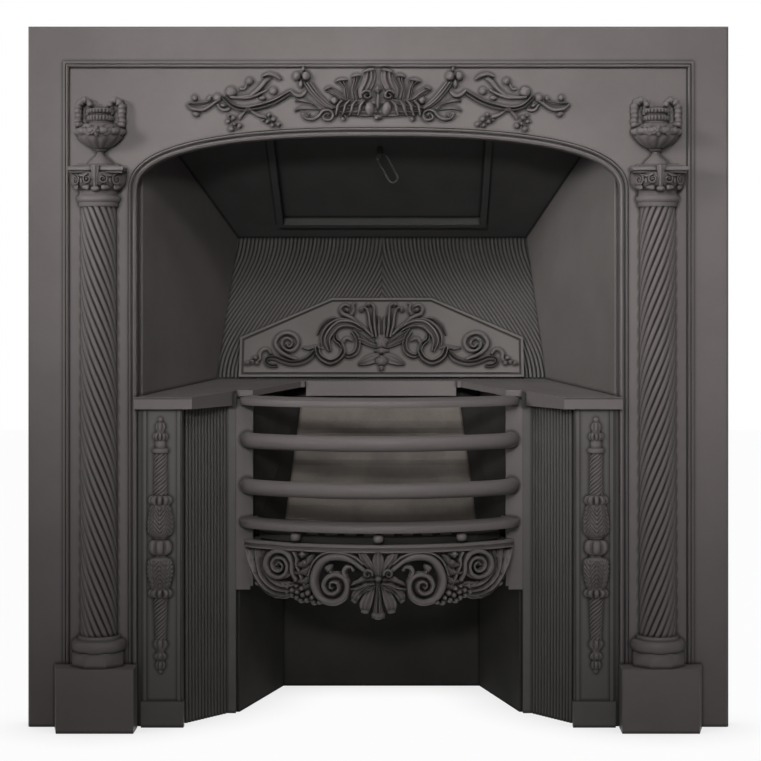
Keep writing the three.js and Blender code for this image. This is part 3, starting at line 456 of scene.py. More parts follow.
# ---- rings and turned work ----
def circle(count):
    """Cosine and sine at even steps round a circle."""
    return [(math.cos(TURN * j / count), math.sin(TURN * j / count)) for j in range(count)]


def turned_ring(x, y, z, reach_at, around, squeeze=1.0, turn=0.0):
    """A level ring about an upright axis; reach_at gives its radius at a share of the way round."""
    ring = []
    for j in range(around):
        theta = TURN * j / around + turn
        reach = reach_at(j / around)
        ring.append((x + reach * math.cos(theta), y + squeeze * reach * math.sin(theta), z))
    return ring


def lathe(skin, profile, x, y, segments=40, squeeze=1.0, turn=0.0, lobes=0, depth=0.0):
    """Turns (radius, height) points about an axis; a third number gives a ring its share of the lobes."""
    sharpness = 2.5
    rings = []
    for radius, z, *beads in profile:
        count = lobes * beads[0] if beads else 0

        def reach_at(share):
            scallop = (0.5 + 0.5 * math.cos(TURN * count * share)) ** sharpness if count else 0
            return radius * (1 - depth * scallop)
        rings.append(turned_ring(x, y, z, reach_at, segments, squeeze, turn))
    skin.tube(rings)


def bead(skin, x, y, z, radius, around=12, levels=6):
    """A ball, made of level rings."""
    lifts = [math.pi * (i / levels - 0.5) for i in range(1, levels)]
    skin.tube([
        turned_ring(x, y, z + radius * math.sin(lift), lambda share: radius * math.cos(lift), around)
        for lift in lifts
    ])


def block(skin, across, deep, high, bevel=0.8):
    """A block between two places each way, with a small bevel round its upper and lower edges."""
    (x0, x1), (y0, y1), (z0, z1) = across, deep, high

    def ring(inset, z):
        return [(x0 + inset, y0 + inset, z), (x1 - inset, y0 + inset, z), (x1 - inset, y1 - inset, z),
                (x0 + inset, y1 - inset, z)]
    skin.tube([ring(bevel, z0), ring(0, z0 + bevel), ring(0, z1 - bevel), ring(bevel, z1)])


def between(values, share):
    """The value at a share of the way along a list."""
    place = share * (len(values) - 1)
    low = min(int(place), len(values) - 2)
    return values[low] + (values[low + 1] - values[low]) * (place - low)


def wire(skin, line, widths, sides):
    """A round rod along a line in space; the widths are spread evenly along it."""
    rings = []
    points = [Vector(p) for p in line]
    last = len(points) - 1
    for i, point in enumerate(points):
        run = (points[min(i + 1, last)] - points[max(i - 1, 0)]).normalized()
        side = run.cross(Vector((0, 1, 0))).normalized()
        up = side.cross(run)
        radius = between(widths, i / last) / 2
        rings.append([tuple(point + side * radius * c + up * radius * s) for c, s in circle(sides)])
    skin.tube(rings)


# ---- relief: ornament laid on a surface ----
def both_flanks(half):
    """A section across a stem, from its half that runs from the middle to the edge."""
    return [(-across, height) for across, height in half[:0:-1]] + half


ROUND = both_flanks([(0, 1), (0.45, 0.92), (0.85, 0.55), (1, 0)])
DOUBLE = both_flanks([(0, 0.3), (0.18, 0.75), (0.5, 1), (0.85, 0.7), (1, 0)])
EDGED = both_flanks([(0, 0.3), (0.35, 0.4), (0.55, 0.95), (0.9, 1), (1, 0)])


def smooth_line(points, steps=6):
    """A smooth line through a few points of a plane."""
    if len(points) == 2:
        return evenly(points, steps)
    held = [points[0], *points, points[-1]]
    line = []
    for a, b, c, d in zip(held, held[1:], held[2:], held[3:]):
        for i in range(steps):
            t = i / steps
            line.append(tuple(
                0.5 * (2 * b[k] + (c[k] - a[k]) * t + (2 * a[k] - 5 * b[k] + 4 * c[k] - d[k]) * t * t
                       + (3 * b[k] - a[k] - 3 * c[k] + d[k]) * t ** 3)
                for k in (0, 1)
            ))
    return [*line, points[-1]]


def evenly(line, count):
    """As many equal steps along a line as asked for."""
    reach = [0.0]
    for a, b in zip(line, line[1:]):
        reach.append(reach[-1] + math.dist(a, b))
    points = []
    at = 0
    for i in range(count + 1):
        goal = reach[-1] * i / count
        while at < len(line) - 2 and reach[at + 1] < goal:
            at += 1
        share = (goal - reach[at]) / ((reach[at + 1] - reach[at]) or 1)
        points.append(tuple(line[at][k] + (line[at + 1][k] - line[at][k]) * share for k in (0, 1)))
    return points


class Relief:
    """Ornament in plane millimetres (u, v) with a height, laid on a surface by surface(u, v, height)."""

    def __init__(self, surface, sink=1.0):
        self.skin = Skin()
        self.surface = surface
        self.sink = sink
        self.hand = 1

    def both(self, draw):
        """Draws the right half and its mirror image."""
        for self.hand in (1, -1):
            draw(self)
        self.hand = 1

    def lay(self, u, v, height):
        return self.surface(self.hand * u, v, height)

    def strip(self, line, width_at, height_at, profile_at):
        """A raised band along a line; its section is in shares of the half width and of the height."""
        rings = []
        last = len(line) - 1
        for i, (u, v) in enumerate(line):
            (u0, v0), (u1, v1) = line[max(i - 1, 0)], line[min(i + 1, last)]
            length = math.hypot(u1 - u0, v1 - v0) or 1
            half = max(width_at(i / last) / 2, 0.15)
            side_u, side_v = -(v1 - v0) / length * half, (u1 - u0) / length * half
            tall = height_at(i / last)
            section = [(s, tall * h) for s, h in profile_at(i / last)] + [(1, -self.sink), (-1, -self.sink)]
            rings.append([self.lay(u + side_u * s, v + side_v * s, level) for s, level in section])
        self.skin.tube(rings)

    def ridge(self, line, widths, height, profile=ROUND, tip=0.35):
        """A band whose widths are spread evenly along it; tip is the share of the height left at its end."""
        self.strip(line, lambda t: between(widths, t), lambda t: height * (1 - (1 - tip) * t ** 3),
                   lambda t: profile)

    def stem(self, points, widths, height, profile=ROUND, tip=0.35):
        """A scroll or stalk through a few points."""
        self.ridge(smooth_line(points), widths, height, profile, tip)

    def curl(self, u, v, outer, inner, start, turns, widths, height):
        """A spiral; it starts at an angle in degrees, and its turns are counted anticlockwise."""
        count = int(abs(turns) * 22)
        line = []
        for i in range(count + 1):
            angle = math.radians(start) + turns * TURN * i / count
            radius = outer + (inner - outer) * (i / count) ** 0.85
            line.append((u + radius * math.cos(angle), v + radius * math.sin(angle)))
        self.ridge(line, widths, height, tip=0.9)

    def leaf(self, points, width, height, lobes=4, depth=0.3, slant=0.3, carve=0.22):
        """A blade with lobed edges, a midrib and slanting veins; carve is how deep the veins are."""
        def width_at(t):
            body = math.sin(math.pi * (t * 0.96 + 0.04) ** 0.8) ** 0.7
            return width * body * (1 - depth * (0.5 + 0.5 * math.cos(TURN * lobes * t)))

        def profile_at(t):
            profile = []
            for k in range(-5, 6):
                s = k / 5
                vein = 0.5 + 0.5 * math.cos(TURN * lobes * (t - slant * abs(s)))
                rib = 0.25 * math.exp(-(s / 0.16) ** 2)
                crown = 0.62 * (1 - abs(s) ** 3) + rib - carve * vein * (1 - math.exp(-(s / 0.3) ** 2))
                profile.append((s, max(0.08, crown) if abs(s) < 1 else 0.0))
            return profile
        self.strip(smooth_line(points), width_at,
                   lambda t: height * (0.65 + 0.35 * math.sin(math.pi * t)), profile_at)

    def blade(self, inner, outer, height, flutes=3, lip=0.0):
        """A petal between two edge lines from its foot to its tip, fluted, with a rolled lip at the tip."""
        steps, columns = 12, 16
        edges = [evenly(smooth_line(edge), steps) for edge in (inner, outer)]
        rings = []
        for i, ((u0, v0), (u1, v1)) in enumerate(zip(*edges)):
            tall = height * (0.5 + 0.5 * math.sin(TURN / 4 * i / steps))
            ring = []
            for k in range(columns + 1):
                s = k / columns
                crown = (4 * s * (1 - s)) ** 0.4 * (0.8 + 0.2 * math.cos(TURN * flutes * s))
                ring.append(self.lay(u0 + (u1 - u0) * s, v0 + (v1 - v0) * s, tall * crown))
            rings.append([*ring, self.lay(u1, v1, -self.sink), self.lay(u0, v0, -self.sink)])
        self.skin.tube(rings)
        if lip:
            (u0, v0), (u1, v1) = edges[0][-1], edges[1][-1]
            middle = ((u0 + u1) / 2, (v0 + v1) / 2 + lip * 0.3)
            self.stem([(u0, v0), middle, (u1, v1)], [1, lip, lip * 1.2, lip, 1], height + 2, tip=0.8)

    def boss(self, u, v, wide, tall, height, angle=0.0, petals=0, depth=0.22, around=20):
        """A bud, grape or flower: a dome with as many petals as asked for."""
        levels = 4
        turn = math.radians(angle)

        def ring(share, level):
            points = []
            for j, (c, s) in enumerate(circle(around)):
                cleft = depth * (0.5 - 0.5 * math.cos(TURN * petals * j / around))
                across, along = wide / 2 * share * (1 - cleft) * c, tall / 2 * share * (1 - cleft) * s
                points.append(self.lay(u + across * math.cos(turn) - along * math.sin(turn),
                                       v + across * math.sin(turn) + along * math.cos(turn),
                                       level * (1 - cleft * share)))
            return points
        lifts = [TURN / 4 * i / levels for i in range(levels)]
        rings = [ring(math.cos(lift), height * math.sin(lift)) for lift in lifts]
        self.skin.dome([ring(1, -self.sink), *rings], self.lay(u, v, height))


# ---- frieze over the arch ----
def on_frieze(u, v, height):
    return (u, -height, FRIEZE_FOOT + v)


def frieze_half(r):
    """Right half of the frieze, measured from its middle and its foot."""
    # garland, the disc it starts from and the branch above it
    r.stem([(213, 32), (200, 20), (186, 15.7), (169, 17.5), (144, 25), (120, 39)], [6, 8, 9, 7], 7, DOUBLE,
           tip=0.8)
    r.boss(202, 38.5, 16, 16, 8)
    r.stem([(204, 32), (193, 31), (178, 32), (165, 36), (153, 42)], [6, 5, 7, 6, 3], 7)
    r.stem([(176, 33), (164, 43), (155, 54), (149, 60)], [5, 7, 7, 9], 7)
    r.stem([(159, 60), (150, 63), (141, 61), (134, 56)], [3, 6, 6, 3], 8, tip=0.7)
    r.boss(176.6, 53.5, 10.5, 10.5, 8)
    r.stem([(190, 43), (184, 43), (181, 48), (180, 52)], [4, 4, 3], 5)
    r.boss(144, 40.3, 11.5, 11.5, 7)
    r.boss(159, 30.6, 10.5, 6.5, 6)
    # spray at the outer end
    r.stem([(263, 22), (255, 15.5), (240, 14.5), (226, 23), (217, 30)], [2, 5, 5, 4, 4], 6, tip=0.9)
    r.blade([(228, 26), (240, 21.5), (252, 21), (261, 23.5)],
            [(229, 28), (241, 26), (252, 25), (261, 23.5)], 5)
    r.boss(220.5, 30.6, 13, 12, 7)
    r.boss(232, 30, 6, 8, 5, angle=30)
    r.boss(252, 30.5, 8, 9, 6, angle=-20)
    r.boss(250, 8.7, 11, 8, 6, angle=20)
    r.stem([(221, 22), (216, 15), (208, 14), (203, 18)], [3, 5, 5, 3], 5)
    r.boss(213, 20, 9, 5, 5)
    # sprays that cross below
    r.stem([(179, 18), (186, 9), (192, 2)], [4, 5, 7], 6)
    r.stem([(179, 18), (167, 8), (154, 4)], [4, 5, 7], 6)
    for u, v, size in (
        (191, -8, 8), (202, -12, 8.5), (206, -2, 7), (199, 3, 8), (197, -5, 6.5), (205, 6, 5), (137, -6, 7),
        (145, -7, 7), (152, -2, 7), (144, 1, 8), (150, 7, 6.5), (158, 0, 5),
    ):
        r.boss(u, v, size, size * 0.9, 7, around=14)
    # knop of two buds with a spike, its cup and the stem that falls to the middle
    r.boss(111.6, 60.5, 12, 13, 9)
    r.boss(99.3, 60.5, 13, 14, 9)
    r.boss(103, 70.5, 4.5, 9, 6, angle=-8)
    r.boss(106, 50, 7, 13, 8)
    r.stem([(121, 41), (113, 34.5), (105, 34), (98, 41)], [4, 6, 6, 4], 7)
    for shift, height in ((-3.4, 6), (0.4, 8), (4.2, 6)):
        r.stem([(98 + shift, 52), (86 + shift, 36), (74 + shift, 24), (62 + shift, 16)], [4, 4.6, 4],
               height, tip=0.9)
    # running scroll and the long leaves beside it
    r.stem([(95, 8.7), (97.5, 5), (103, 9.6), (100.2, 3.4), (89.7, 1.2), (81, 6.5), (75.6, 12.5),
           (67, 13.6), (61.6, 8), (65, 1), (73.5, 1.2), (75, 6), (70.4, 9.4), (67.5, 7)],
           [3.4, 4.4, 4.6, 4.6, 4, 3], 6.5, tip=0.9)
    r.boss(69.5, 6.6, 4, 4, 6, around=12)
    r.blade([(78, 18), (90, 22), (103, 25), (114, 26)], [(80, 14), (93, 25), (104, 31), (114, 26)], 6,
            flutes=1)
    r.blade([(76, 13), (90, 14.5), (104, 15), (115, 12)], [(78, 10), (92, 19), (105, 20), (115, 12)], 6,
            flutes=1)
    # fan of petals with rolled tips
    r.blade([(15, 33), (7, 45), (2.5, 58), (4, 69)], [(27, 30), (29, 42), (23.5, 54), (20.5, 65)], 8, lip=5)
    r.blade([(26, 28), (31, 42), (28, 53), (24, 61)], [(37, 28), (38, 42), (35, 53), (37, 59)], 8, lip=4.4)
    r.blade([(37, 27), (41, 40), (43, 50), (42, 55)], [(48, 29), (48.5, 40), (50, 48), (59, 53)], 8,
            lip=4.2)
    r.blade([(26, 28), (44, 32), (55, 40), (64, 45)], [(30, 24), (50, 26), (60, 33), (73, 41)], 7, lip=3.6,
            flutes=2)
    # acanthus along the foot
    r.blade([(2, 30), (22, 29), (42, 26), (60, 20)], [(3, 16), (22, 16), (42, 14), (61, 12)], 9, flutes=2)
    r.blade([(2, 18), (22, 18), (42, 15), (60, 13)], [(2, 5), (20, 5), (36, 7), (52, 8.5)], 10, flutes=2)
    for foot, head in ((49, 58), (39, 50), (29, 40), (18, 28)):
        r.stem([(foot, 27), (foot + 6, 20), (foot + 7.5, 13), (head, 6.5)], [3, 5.5, 5, 3], 11.5, tip=0.8)
    r.boss(60, 27, 11, 13, 8, angle=-30)
    r.boss(47.5, 2, 6, 7, 6)
    # curl and lobe beside the middle
    r.curl(15, 34, 7, 1.5, 20, 1.3, [4.6, 4, 3.4], 11)
    r.boss(12, 16, 15, 22, 12, angle=-12)


def frieze():
    relief = Relief(on_frieze)
    relief.both(frieze_half)
    relief.boss(0, 42, 11, 13, 11, petals=4)
    relief.boss(0, 26, 6, 24, 13)
    relief.boss(0, 4, 14, 8, 10, petals=3)
    add_piece("frieze_ornament", relief.skin.mesh("frieze_ornament"), FACE_IRON)


# ---- plaque on the back panel ----
PANEL_FOOT = Vector((0, PANEL_FOOT_Y, PANEL_FOOT_Z))
PANEL_CLIMB = Vector((0, PANEL_HEAD_Y, PANEL_HEAD_Z)) - PANEL_FOOT
PANEL_RISE = PANEL_CLIMB.normalized()
PANEL_OUT = Vector((0, -PANEL_RISE.z, PANEL_RISE.y))


def on_panel(u, v, height):
    return tuple(Vector((u, 0, 0)) + PANEL_FOOT + PANEL_RISE * v + PANEL_OUT * height)


def on_plaque(u, v, height):
    return on_panel(u, v, height + PLAQUE_FIELD)


def plaque_half(r):
    """Right half of the plaque, measured from its middle and up the slope of the panel."""
    # small scroll that curls out of its stem
    r.stem([(129, 26), (145.3, 33), (157, 42.4), (162.2, 54), (155.6, 66), (143.9, 69.9), (131.5, 64.4),
           (127, 53.4), (132.1, 43), (142, 40.4), (150.5, 46), (151.4, 56), (144, 61), (136.8, 56),
           (137, 49), (142.4, 46.8), (145, 51)], [6, 7.5, 7.5, 7, 6.5, 5.5, 5, 4.4, 4], 7, tip=0.9)
    r.stem([(98, 45), (108, 31), (120, 23.5), (136, 21), (150, 24.5), (163, 29.5), (173.5, 28), (175, 21),
           (167, 16.5), (158, 17)], [7, 10, 10, 9, 8, 6, 5, 4], 7.5, DOUBLE, tip=0.8)
    # curled leaf and flower at the outer end
    r.stem([(168, 35), (173, 42), (180, 42.5), (185, 36), (185, 28), (191, 23)], [5, 6, 6, 5], 6.5)
    for u, v, size in ((192, 29, 9), (196, 23, 9), (189, 21, 8), (203, 21, 8)):
        r.boss(u, v, size, size * 0.8, 6.5, around=14)
    r.leaf([(184, 24), (197, 22), (210, 19)], 8, 5, lobes=2)
    # level leaf
    r.blade([(88, 49), (100, 50), (112, 47), (121, 47)], [(88, 44), (100, 44.5), (112, 42), (121, 45)], 6,
            flutes=1)
    # great scroll: outer ridge, broad band, ring and eye ring
    r.stem([(16, 66), (35, 84), (56, 91.5), (72, 89), (86, 77), (92, 61), (91, 48)], [6, 6, 6, 5, 3], 7,
           tip=0.6)
    r.stem([(30, 74), (46, 83), (64, 83), (77, 71), (83, 56), (79, 40)], [6, 10, 12, 12, 10, 5], 9, EDGED,
           tip=0.6)
    r.stem([(98.4, 46), (94, 31), (79, 21.5), (65, 27), (58.5, 39), (62, 50), (70, 58), (71, 68)],
           [7, 8.5, 8.5, 8, 7, 6, 4], 10, EDGED, tip=0.7)
    r.stem([(44, 72), (36, 58), (37.5, 40), (49, 32), (58, 36)], [7, 8, 8, 7, 5], 7, EDGED, tip=0.9)
    r.stem([(58, 40), (60, 52), (53, 61), (44, 57)], [5, 6, 6, 4], 7.5)
    r.leaf([(58, 90), (76, 93), (90, 84), (98, 66)], 7, 7, lobes=5, depth=0.35)
    # leaf that curls back over the scroll
    r.stem([(34, 80), (44, 92), (52, 97), (60, 101), (63, 109), (57, 116), (49, 113)],
           [5, 8, 9, 7, 6, 5, 3], 8)
    r.stem([(47, 98), (43, 106), (44, 115), (40, 119)], [6, 6, 5, 3], 8)
    r.boss(54, 107, 8, 8, 8)
    # middle leaves with curled tips
    for line, widths in (
        ([(13, 62), (18, 84), (20, 100), (24, 109), (31, 110)], [6, 6.5, 5.5, 5, 4]),
        ([(8, 62), (11, 84), (11.5, 100), (13, 113), (20, 118)], [6, 7, 6, 5, 4]),
        ([(3, 60), (4.5, 76), (4, 88), (6, 97)], [5, 6, 5, 2.5]),
    ):
        r.stem(line, widths, 7.5, tip=0.9)
    r.boss(31, 108, 8, 8, 9, angle=-30)
    r.boss(20.5, 116, 8, 7, 9, angle=-30)
    # cup and skirt
    r.blade([(2, 64), (14, 63), (28, 73), (44, 81)], [(2, 52), (16, 52), (31, 62), (42, 70)], 8.5, flutes=2)
    r.blade([(2, 55), (12, 54), (22, 59), (36, 64)], [(2, 44), (14, 46), (24, 50), (36, 55)], 9.5, flutes=2)
    r.blade([(3, 39), (14, 37), (26, 30), (35, 20)], [(3, 24), (12, 20), (24, 17), (35, 18)], 8, flutes=2)


def plaque():
    relief = Relief(on_plaque)
    relief.both(plaque_half)
    relief.boss(0, 56, 24, 30, 11, petals=6, depth=0.14, around=36)
    relief.boss(0, 41, 24, 12, 9, petals=4, around=32)
    relief.boss(0, 25, 22, 20, 9.5, petals=4, depth=0.18, around=32)
    relief.boss(0, 13, 9, 8, 8)
    add_piece("plaque_ornament", relief.skin.mesh("plaque_ornament"), SHADED_NICHE_IRON)


# ---- bow of the grate ----
BOW_TURN = math.asin(BOW_CORNER_X / BOW_RADIUS)
CORNER_TURN = TURN / 4 - BOW_TURN
BOW_CENTRE_Y = BOW_FRONT_Y + BOW_RADIUS
CORNER_X = (BOW_RADIUS - BOW_CORNER_RADIUS) * math.sin(BOW_TURN)
CORNER_Y = BOW_CENTRE_Y - (BOW_RADIUS - BOW_CORNER_RADIUS) * math.cos(BOW_TURN)
BOW_HALF_LENGTH = BOW_RADIUS * BOW_TURN + BOW_CORNER_RADIUS * CORNER_TURN + BOW_END_Y - CORNER_Y


def on_bow(along, up, inset):
    """A point of the bow's front, unrolled: how far along, how high and how far behind the bars' front."""
    hand = 1 if along >= 0 else -1
    angle = abs(along) / BOW_RADIUS
    if angle <= BOW_TURN:
        radius = BOW_RADIUS - inset
        return (hand * radius * math.sin(angle), BOW_CENTRE_Y - radius * math.cos(angle), up)
    spare = (angle - BOW_TURN) * BOW_RADIUS
    bend = min(spare / BOW_CORNER_RADIUS, CORNER_TURN)
    radius = BOW_CORNER_RADIUS - inset
    straight = spare - bend * BOW_CORNER_RADIUS
    x = CORNER_X + radius * math.sin(BOW_TURN + bend)
    y = CORNER_Y - radius * math.cos(BOW_TURN + bend) + straight
    return (hand * x, y, up)


def bowed(skin, reach, steps, profile):
    """A bar bent along the bow; the profile holds (depth behind the front, height) points."""
    skin.tube([
        [on_bow(reach * (2 * i / steps - 1), height, inset) for inset, height in profile]
        for i in range(steps + 1)
    ])


def grate_bars():
    radius = BAR_DIAMETER / 2
    profiles = {
        name: [(radius + radius * c, middle + radius * s) for c, s in circle(24)]
        for name, middle in (("upper_round_bar", 390), ("lower_round_bar", 325))
    }
    profiles["top_bar"] = [(0.6, 440), (20, 440), (20, 452.2), (18.6, 453.3), (3, 450), (1, 449.2),
                           (0, 447.6), (0, 440.8)]
    profiles["bottom_bar"] = [(0.6, 268), (26, 268), (26, 280), (24, 281.4), (3, 278), (1, 277),
                              (0, 275.6), (0, 268.8)]
    for name, profile in profiles.items():
        skin = Skin()
        bowed(skin, BOW_HALF_LENGTH, 90, profile)
        add_piece(name + "_dressed", skin.mesh(name), FACE_IRON, replaces=(name,), crease=50)


# ---- pierced fret ----
def on_fret(across, up, height):
    """A point of the fret as seen from the front, across and up, laid on the bow."""
    straight = min(abs(across), FRET_CORNER_X)
    bent = (abs(across) - straight) * FRET_CORNER_STRETCH
    along = BOW_RADIUS * math.asin(straight / (BOW_RADIUS - FRET_INSET)) + bent
    return on_bow(math.copysign(along, across), up, FRET_INSET - height)


def fret_half(r):
    """Right half of the fret, measured from its middle and from the hearth."""
    # inner scroll, drawn from the middle into its eye
    r.stem([(14, 213), (24, 222), (36, 230.5), (50, 235.5), (68, 234), (82, 223), (89, 204), (86, 187),
           (76, 176), (61, 172.5), (48, 179), (42, 192), (45, 205), (56, 211), (68, 207.5), (74.5, 197),
           (70.5, 187), (61, 184.5), (54, 191), (56, 199.5), (63.5, 200.5), (66, 194.5), (62.5, 191.5)],
           [6, 8, 10.5, 11, 10.5, 10, 9.5, 9, 8.5, 8, 7.5, 6.8, 6, 5, 4.2, 3.6], 6.5, tip=0.85)
    r.stem([(20, 226), (34, 236.5), (52, 241), (72, 240), (88, 228), (96, 208)], [5, 5, 4.5, 4], 5, tip=0.8)
    r.stem([(44, 207), (47, 214), (44, 221), (37, 222), (34, 216)], [6, 7, 6, 4], 5.5)
    r.boss(68, 219, 11, 13, 5.5, angle=20, petals=3)
    r.stem([(60, 211), (65, 214), (68, 220)], [4, 4, 3], 4.5)
    # outer scroll
    r.stem([(112, 200), (118, 213), (118.5, 226), (127, 237.5), (140, 239.5), (152, 232), (156, 219),
           (150, 207.5), (137, 203.5), (127.5, 209), (124.5, 220), (130, 229.5), (140.5, 230),
           (146.5, 222.5), (143.5, 213.5), (135, 212), (131, 219), (135.5, 224.5), (140, 220.5)],
           [6, 7.5, 8, 8, 8, 7.5, 7, 6.5, 6, 5.2, 4.6, 4, 3.6], 6.5, tip=0.85)
    # acanthus round the outer scroll
    for line, width in (
        ([(108, 197), (122, 192), (138, 193), (152, 203), (160, 220), (160, 239)], 13),
        ([(104, 191), (122, 185), (144, 187), (161, 201), (168, 220), (171, 240)], 14),
        ([(116, 184), (134, 179), (154, 185), (169, 201), (177, 221), (183, 241)], 14),
    ):
        r.leaf(line, width, 8, lobes=9, depth=0.16, slant=0.14, carve=0.4)
    r.leaf([(150, 196), (160, 210), (160, 226), (150, 240)], 10, 6, depth=0.35)
    r.boss(171, 207, 9, 9, 5.5, petals=3)
    r.boss(168, 192, 9, 7, 5.5, angle=30)
    # leaves and bud between the scrolls
    r.leaf([(90, 236), (98, 226), (108, 222), (120, 226)], 13, 7, lobes=3)
    r.leaf([(92, 222), (100, 214), (110, 211), (121, 212)], 13, 7.5)
    r.leaf([(92, 210), (98, 202), (106, 199), (117, 200)], 12, 7, lobes=3)
    r.leaf([(94, 196), (100, 192), (108, 190), (114, 184)], 10, 6, lobes=3)
    r.boss(104, 237, 12, 11, 7.5, petals=4)
    r.boss(100, 226, 8, 8, 8)
    r.stem([(116, 240), (112, 232), (112, 222), (108, 212), (104, 200), (98, 190)], [5, 5, 5, 4], 6)
    # bunch of grapes
    for u, v, size in (
        (80.5, 172.5, 7), (88, 171.5, 8), (90.5, 178, 8), (96, 184, 9), (98, 174.5, 8), (103, 181, 9),
        (106, 173.5, 8), (105, 190, 8), (110.5, 185, 9), (111.5, 177, 8), (118, 187, 9), (118.5, 180, 8),
        (125, 184, 8), (124, 191, 7), (112, 193, 7),
    ):
        r.boss(u, v, size, size, 7, around=14)
    # middle: top leaf, curl, side leaves and fan lobes
    r.blade([(2, 214), (6, 226), (12, 236), (17, 241)], [(10, 212), (17, 222), (25, 231), (27, 240)], 6,
            flutes=2)
    r.curl(14, 213, 6.5, 1.5, 200, -1.4, [4.5, 4, 3.4], 9)
    r.leaf([(5, 204), (16, 205), (28, 201), (40, 195)], 10, 7, lobes=3)
    r.leaf([(4, 199), (16, 197), (28, 192), (41, 192)], 11, 8)
    r.leaf([(4, 192), (14, 190), (24, 186), (36, 187)], 9, 7, lobes=3)
    r.blade([(3, 198), (5, 184), (8, 170), (13, 160)], [(8, 198), (18, 187), (26, 173), (23, 161)], 7.5,
            flutes=2, lip=6)
    r.blade([(8, 197), (17, 189), (25, 179), (30, 173)], [(10, 201), (24, 197), (36, 187), (36, 177)], 7.5,
            flutes=2, lip=5)


def fret():
    relief = Relief(on_fret, sink=FRET_THICK)
    relief.both(fret_half)
    relief.blade([(-4, 210), (-7, 222), (-8, 234), (-2, 243)],
                 [(4, 210), (7, 222), (8, 234), (2, 243)], 8, flutes=2)
    relief.blade([(-3, 204), (-3.5, 186), (-6, 168), (-9, 152)],
                 [(3, 204), (3.5, 186), (6, 168), (9, 152)], 9)
    relief.boss(0, 156, 19, 12, 9)
    relief.boss(0, 206, 10, 8, 11)
    rail_back = FRET_THICK + FRET_INSET
    bowed(relief.skin, FRET_RAIL_REACH, 70, [
        (0, 241.5), (rail_back, 241.5), (rail_back, 251.7), (2, 251.7), (0.6, 250.6), (0.2, 248),
        (1.6, 246.6), (1.6, 244.8), (0.2, 243.6),
    ])
    add_piece("fret_dressed", relief.skin.mesh("fret_dressed"), FACE_IRON, replaces=("fret",))


def fret_balls():
    for name in ("fret_ball_left", "fret_ball_centre", "fret_ball_right"):
        low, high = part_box(name)
        centre = (low + high) / 2 / MM
        skin = Skin()
        bead(skin, centre.x, centre.y - FACE_Y, centre.z, (high.z - low.z) / 2 / MM, around=24, levels=14)
        add_piece(name + "_dressed", skin.mesh(name), FACE_IRON, replaces=(name,))


# ---- reeded walls ----
def build_reed_tree():
    """A row of upright round reeds whose feet and heads follow straight slopes."""
    reeds = RuleTree("reed_row", {
        "Count": 10, "Start": (0, 0, 0), "Pitch": (0, 0.005, 0), "Height": 0.3, "Height change": 0.0,
        "Radius": 0.002, "Sides": 8,
    })
    given = reeds.given
    reed = reeds.node("GeometryNodeMeshCylinder", Vertices=given["Sides"], Radius=given["Radius"], Depth=1.0)
    raised = reeds.node("GeometryNodeTransform", Geometry=reed, Translation=(0, 0, 0.5))
    index = reeds.node("GeometryNodeInputIndex")
    tall = reeds.math("MULTIPLY_ADD", index, given["Height change"], given["Height"])
    return reeds.cast(reeds.node(
        "GeometryNodeInstanceOnPoints", Points=reeds.row(given["Start"], given["Pitch"]), Instance=raised,
        Scale=reeds.vector(X=1.0, Y=1.0, Z=tall)))


def reed_row(tree, start, step, count, height, change, radius, sides=8):
    return grown("reed_row", tree, {
        "Count": count, "Start": in_row(*start), "Pitch": Vector(step) * MM, "Height": height * MM,
        "Height change": change * MM, "Radius": radius * MM, "Sides": sides,
    }, SHADED_NICHE_IRON)


def cheek_reeds(tree):
    """Upper cheeks: reeds that stand on the hob, farther back on the panel, and end under the canopy."""
    sunk = 1.3
    radius = CHEEK_REED_PITCH * 0.62
    back_margin = 3
    step = CHEEK_REED_PITCH / math.hypot(1, NICHE_TAPER)
    total = int((PANEL_HEAD_Y - back_margin - CHEEK_REED_FRONT) / step)
    on_hob = int((PANEL_FOOT_Y - CHEEK_REED_FRONT) / step)
    panel_y = CHEEK_REED_FRONT + on_hob * step
    lean = PANEL_CLIMB.z / PANEL_CLIMB.y
    for hand, side in SIDES:
        rows = []
        for y, count, foot, foot_rise in (
            (CHEEK_REED_FRONT, on_hob, hob_top_at(CHEEK_REED_FRONT) + GAP, HOB_RISE),
            (panel_y, total - on_hob, PANEL_FOOT_Z + (panel_y - PANEL_FOOT_Y) * lean, lean),
        ):
            rows.append(reed_row(
                tree, (hand * (niche_half_at(y) + sunk), y, foot),
                (-hand * NICHE_TAPER * step, step, foot_rise * step), count,
                canopy_under(y) - GAP - foot, -(CANOPY_SLOPE + foot_rise) * step, radius,
            ))
        add_piece(f"upper_cheek_reeds_{side}", joined(rows, "cheek_reeds"), SHADED_NICHE_IRON, crease=60)


def lower_cheek_reeds(tree):
    """Cheeks beside the grate: broad reeds up to the hob, and cement in the joints at their two ends."""
    (x0, y0), (x1, y1) = CHEEK_START, CHEEK_END
    step_x, step_y = (x1 - x0) / CHEEK_REEDS, (y1 - y0) / CHEEK_REEDS
    radius = math.hypot(step_x, step_y) * 0.49
    for hand, side in SIDES:
        row = reed_row(
            tree, (hand * (x0 + step_x / 2), y0 + step_y / 2, 0), (hand * step_x, step_y, 0), CHEEK_REEDS,
            HOB_UNDERSIDE - GAP, 0, radius, sides=16,
        )
        add_piece(f"fluted_reeds_{side}", row, DARK_SHADED_HOB_IRON, crease=60)
        cement = Skin()
        for across, deep, high in (FRONT_JOINT, STILE_JOINT):
            block(cement, sorted(hand * x for x in across), deep, high, bevel=0.1)
        add_piece(f"cheek_joint_{side}", cement.mesh("cheek_joint"), SOOTED_SHADED_IRON)


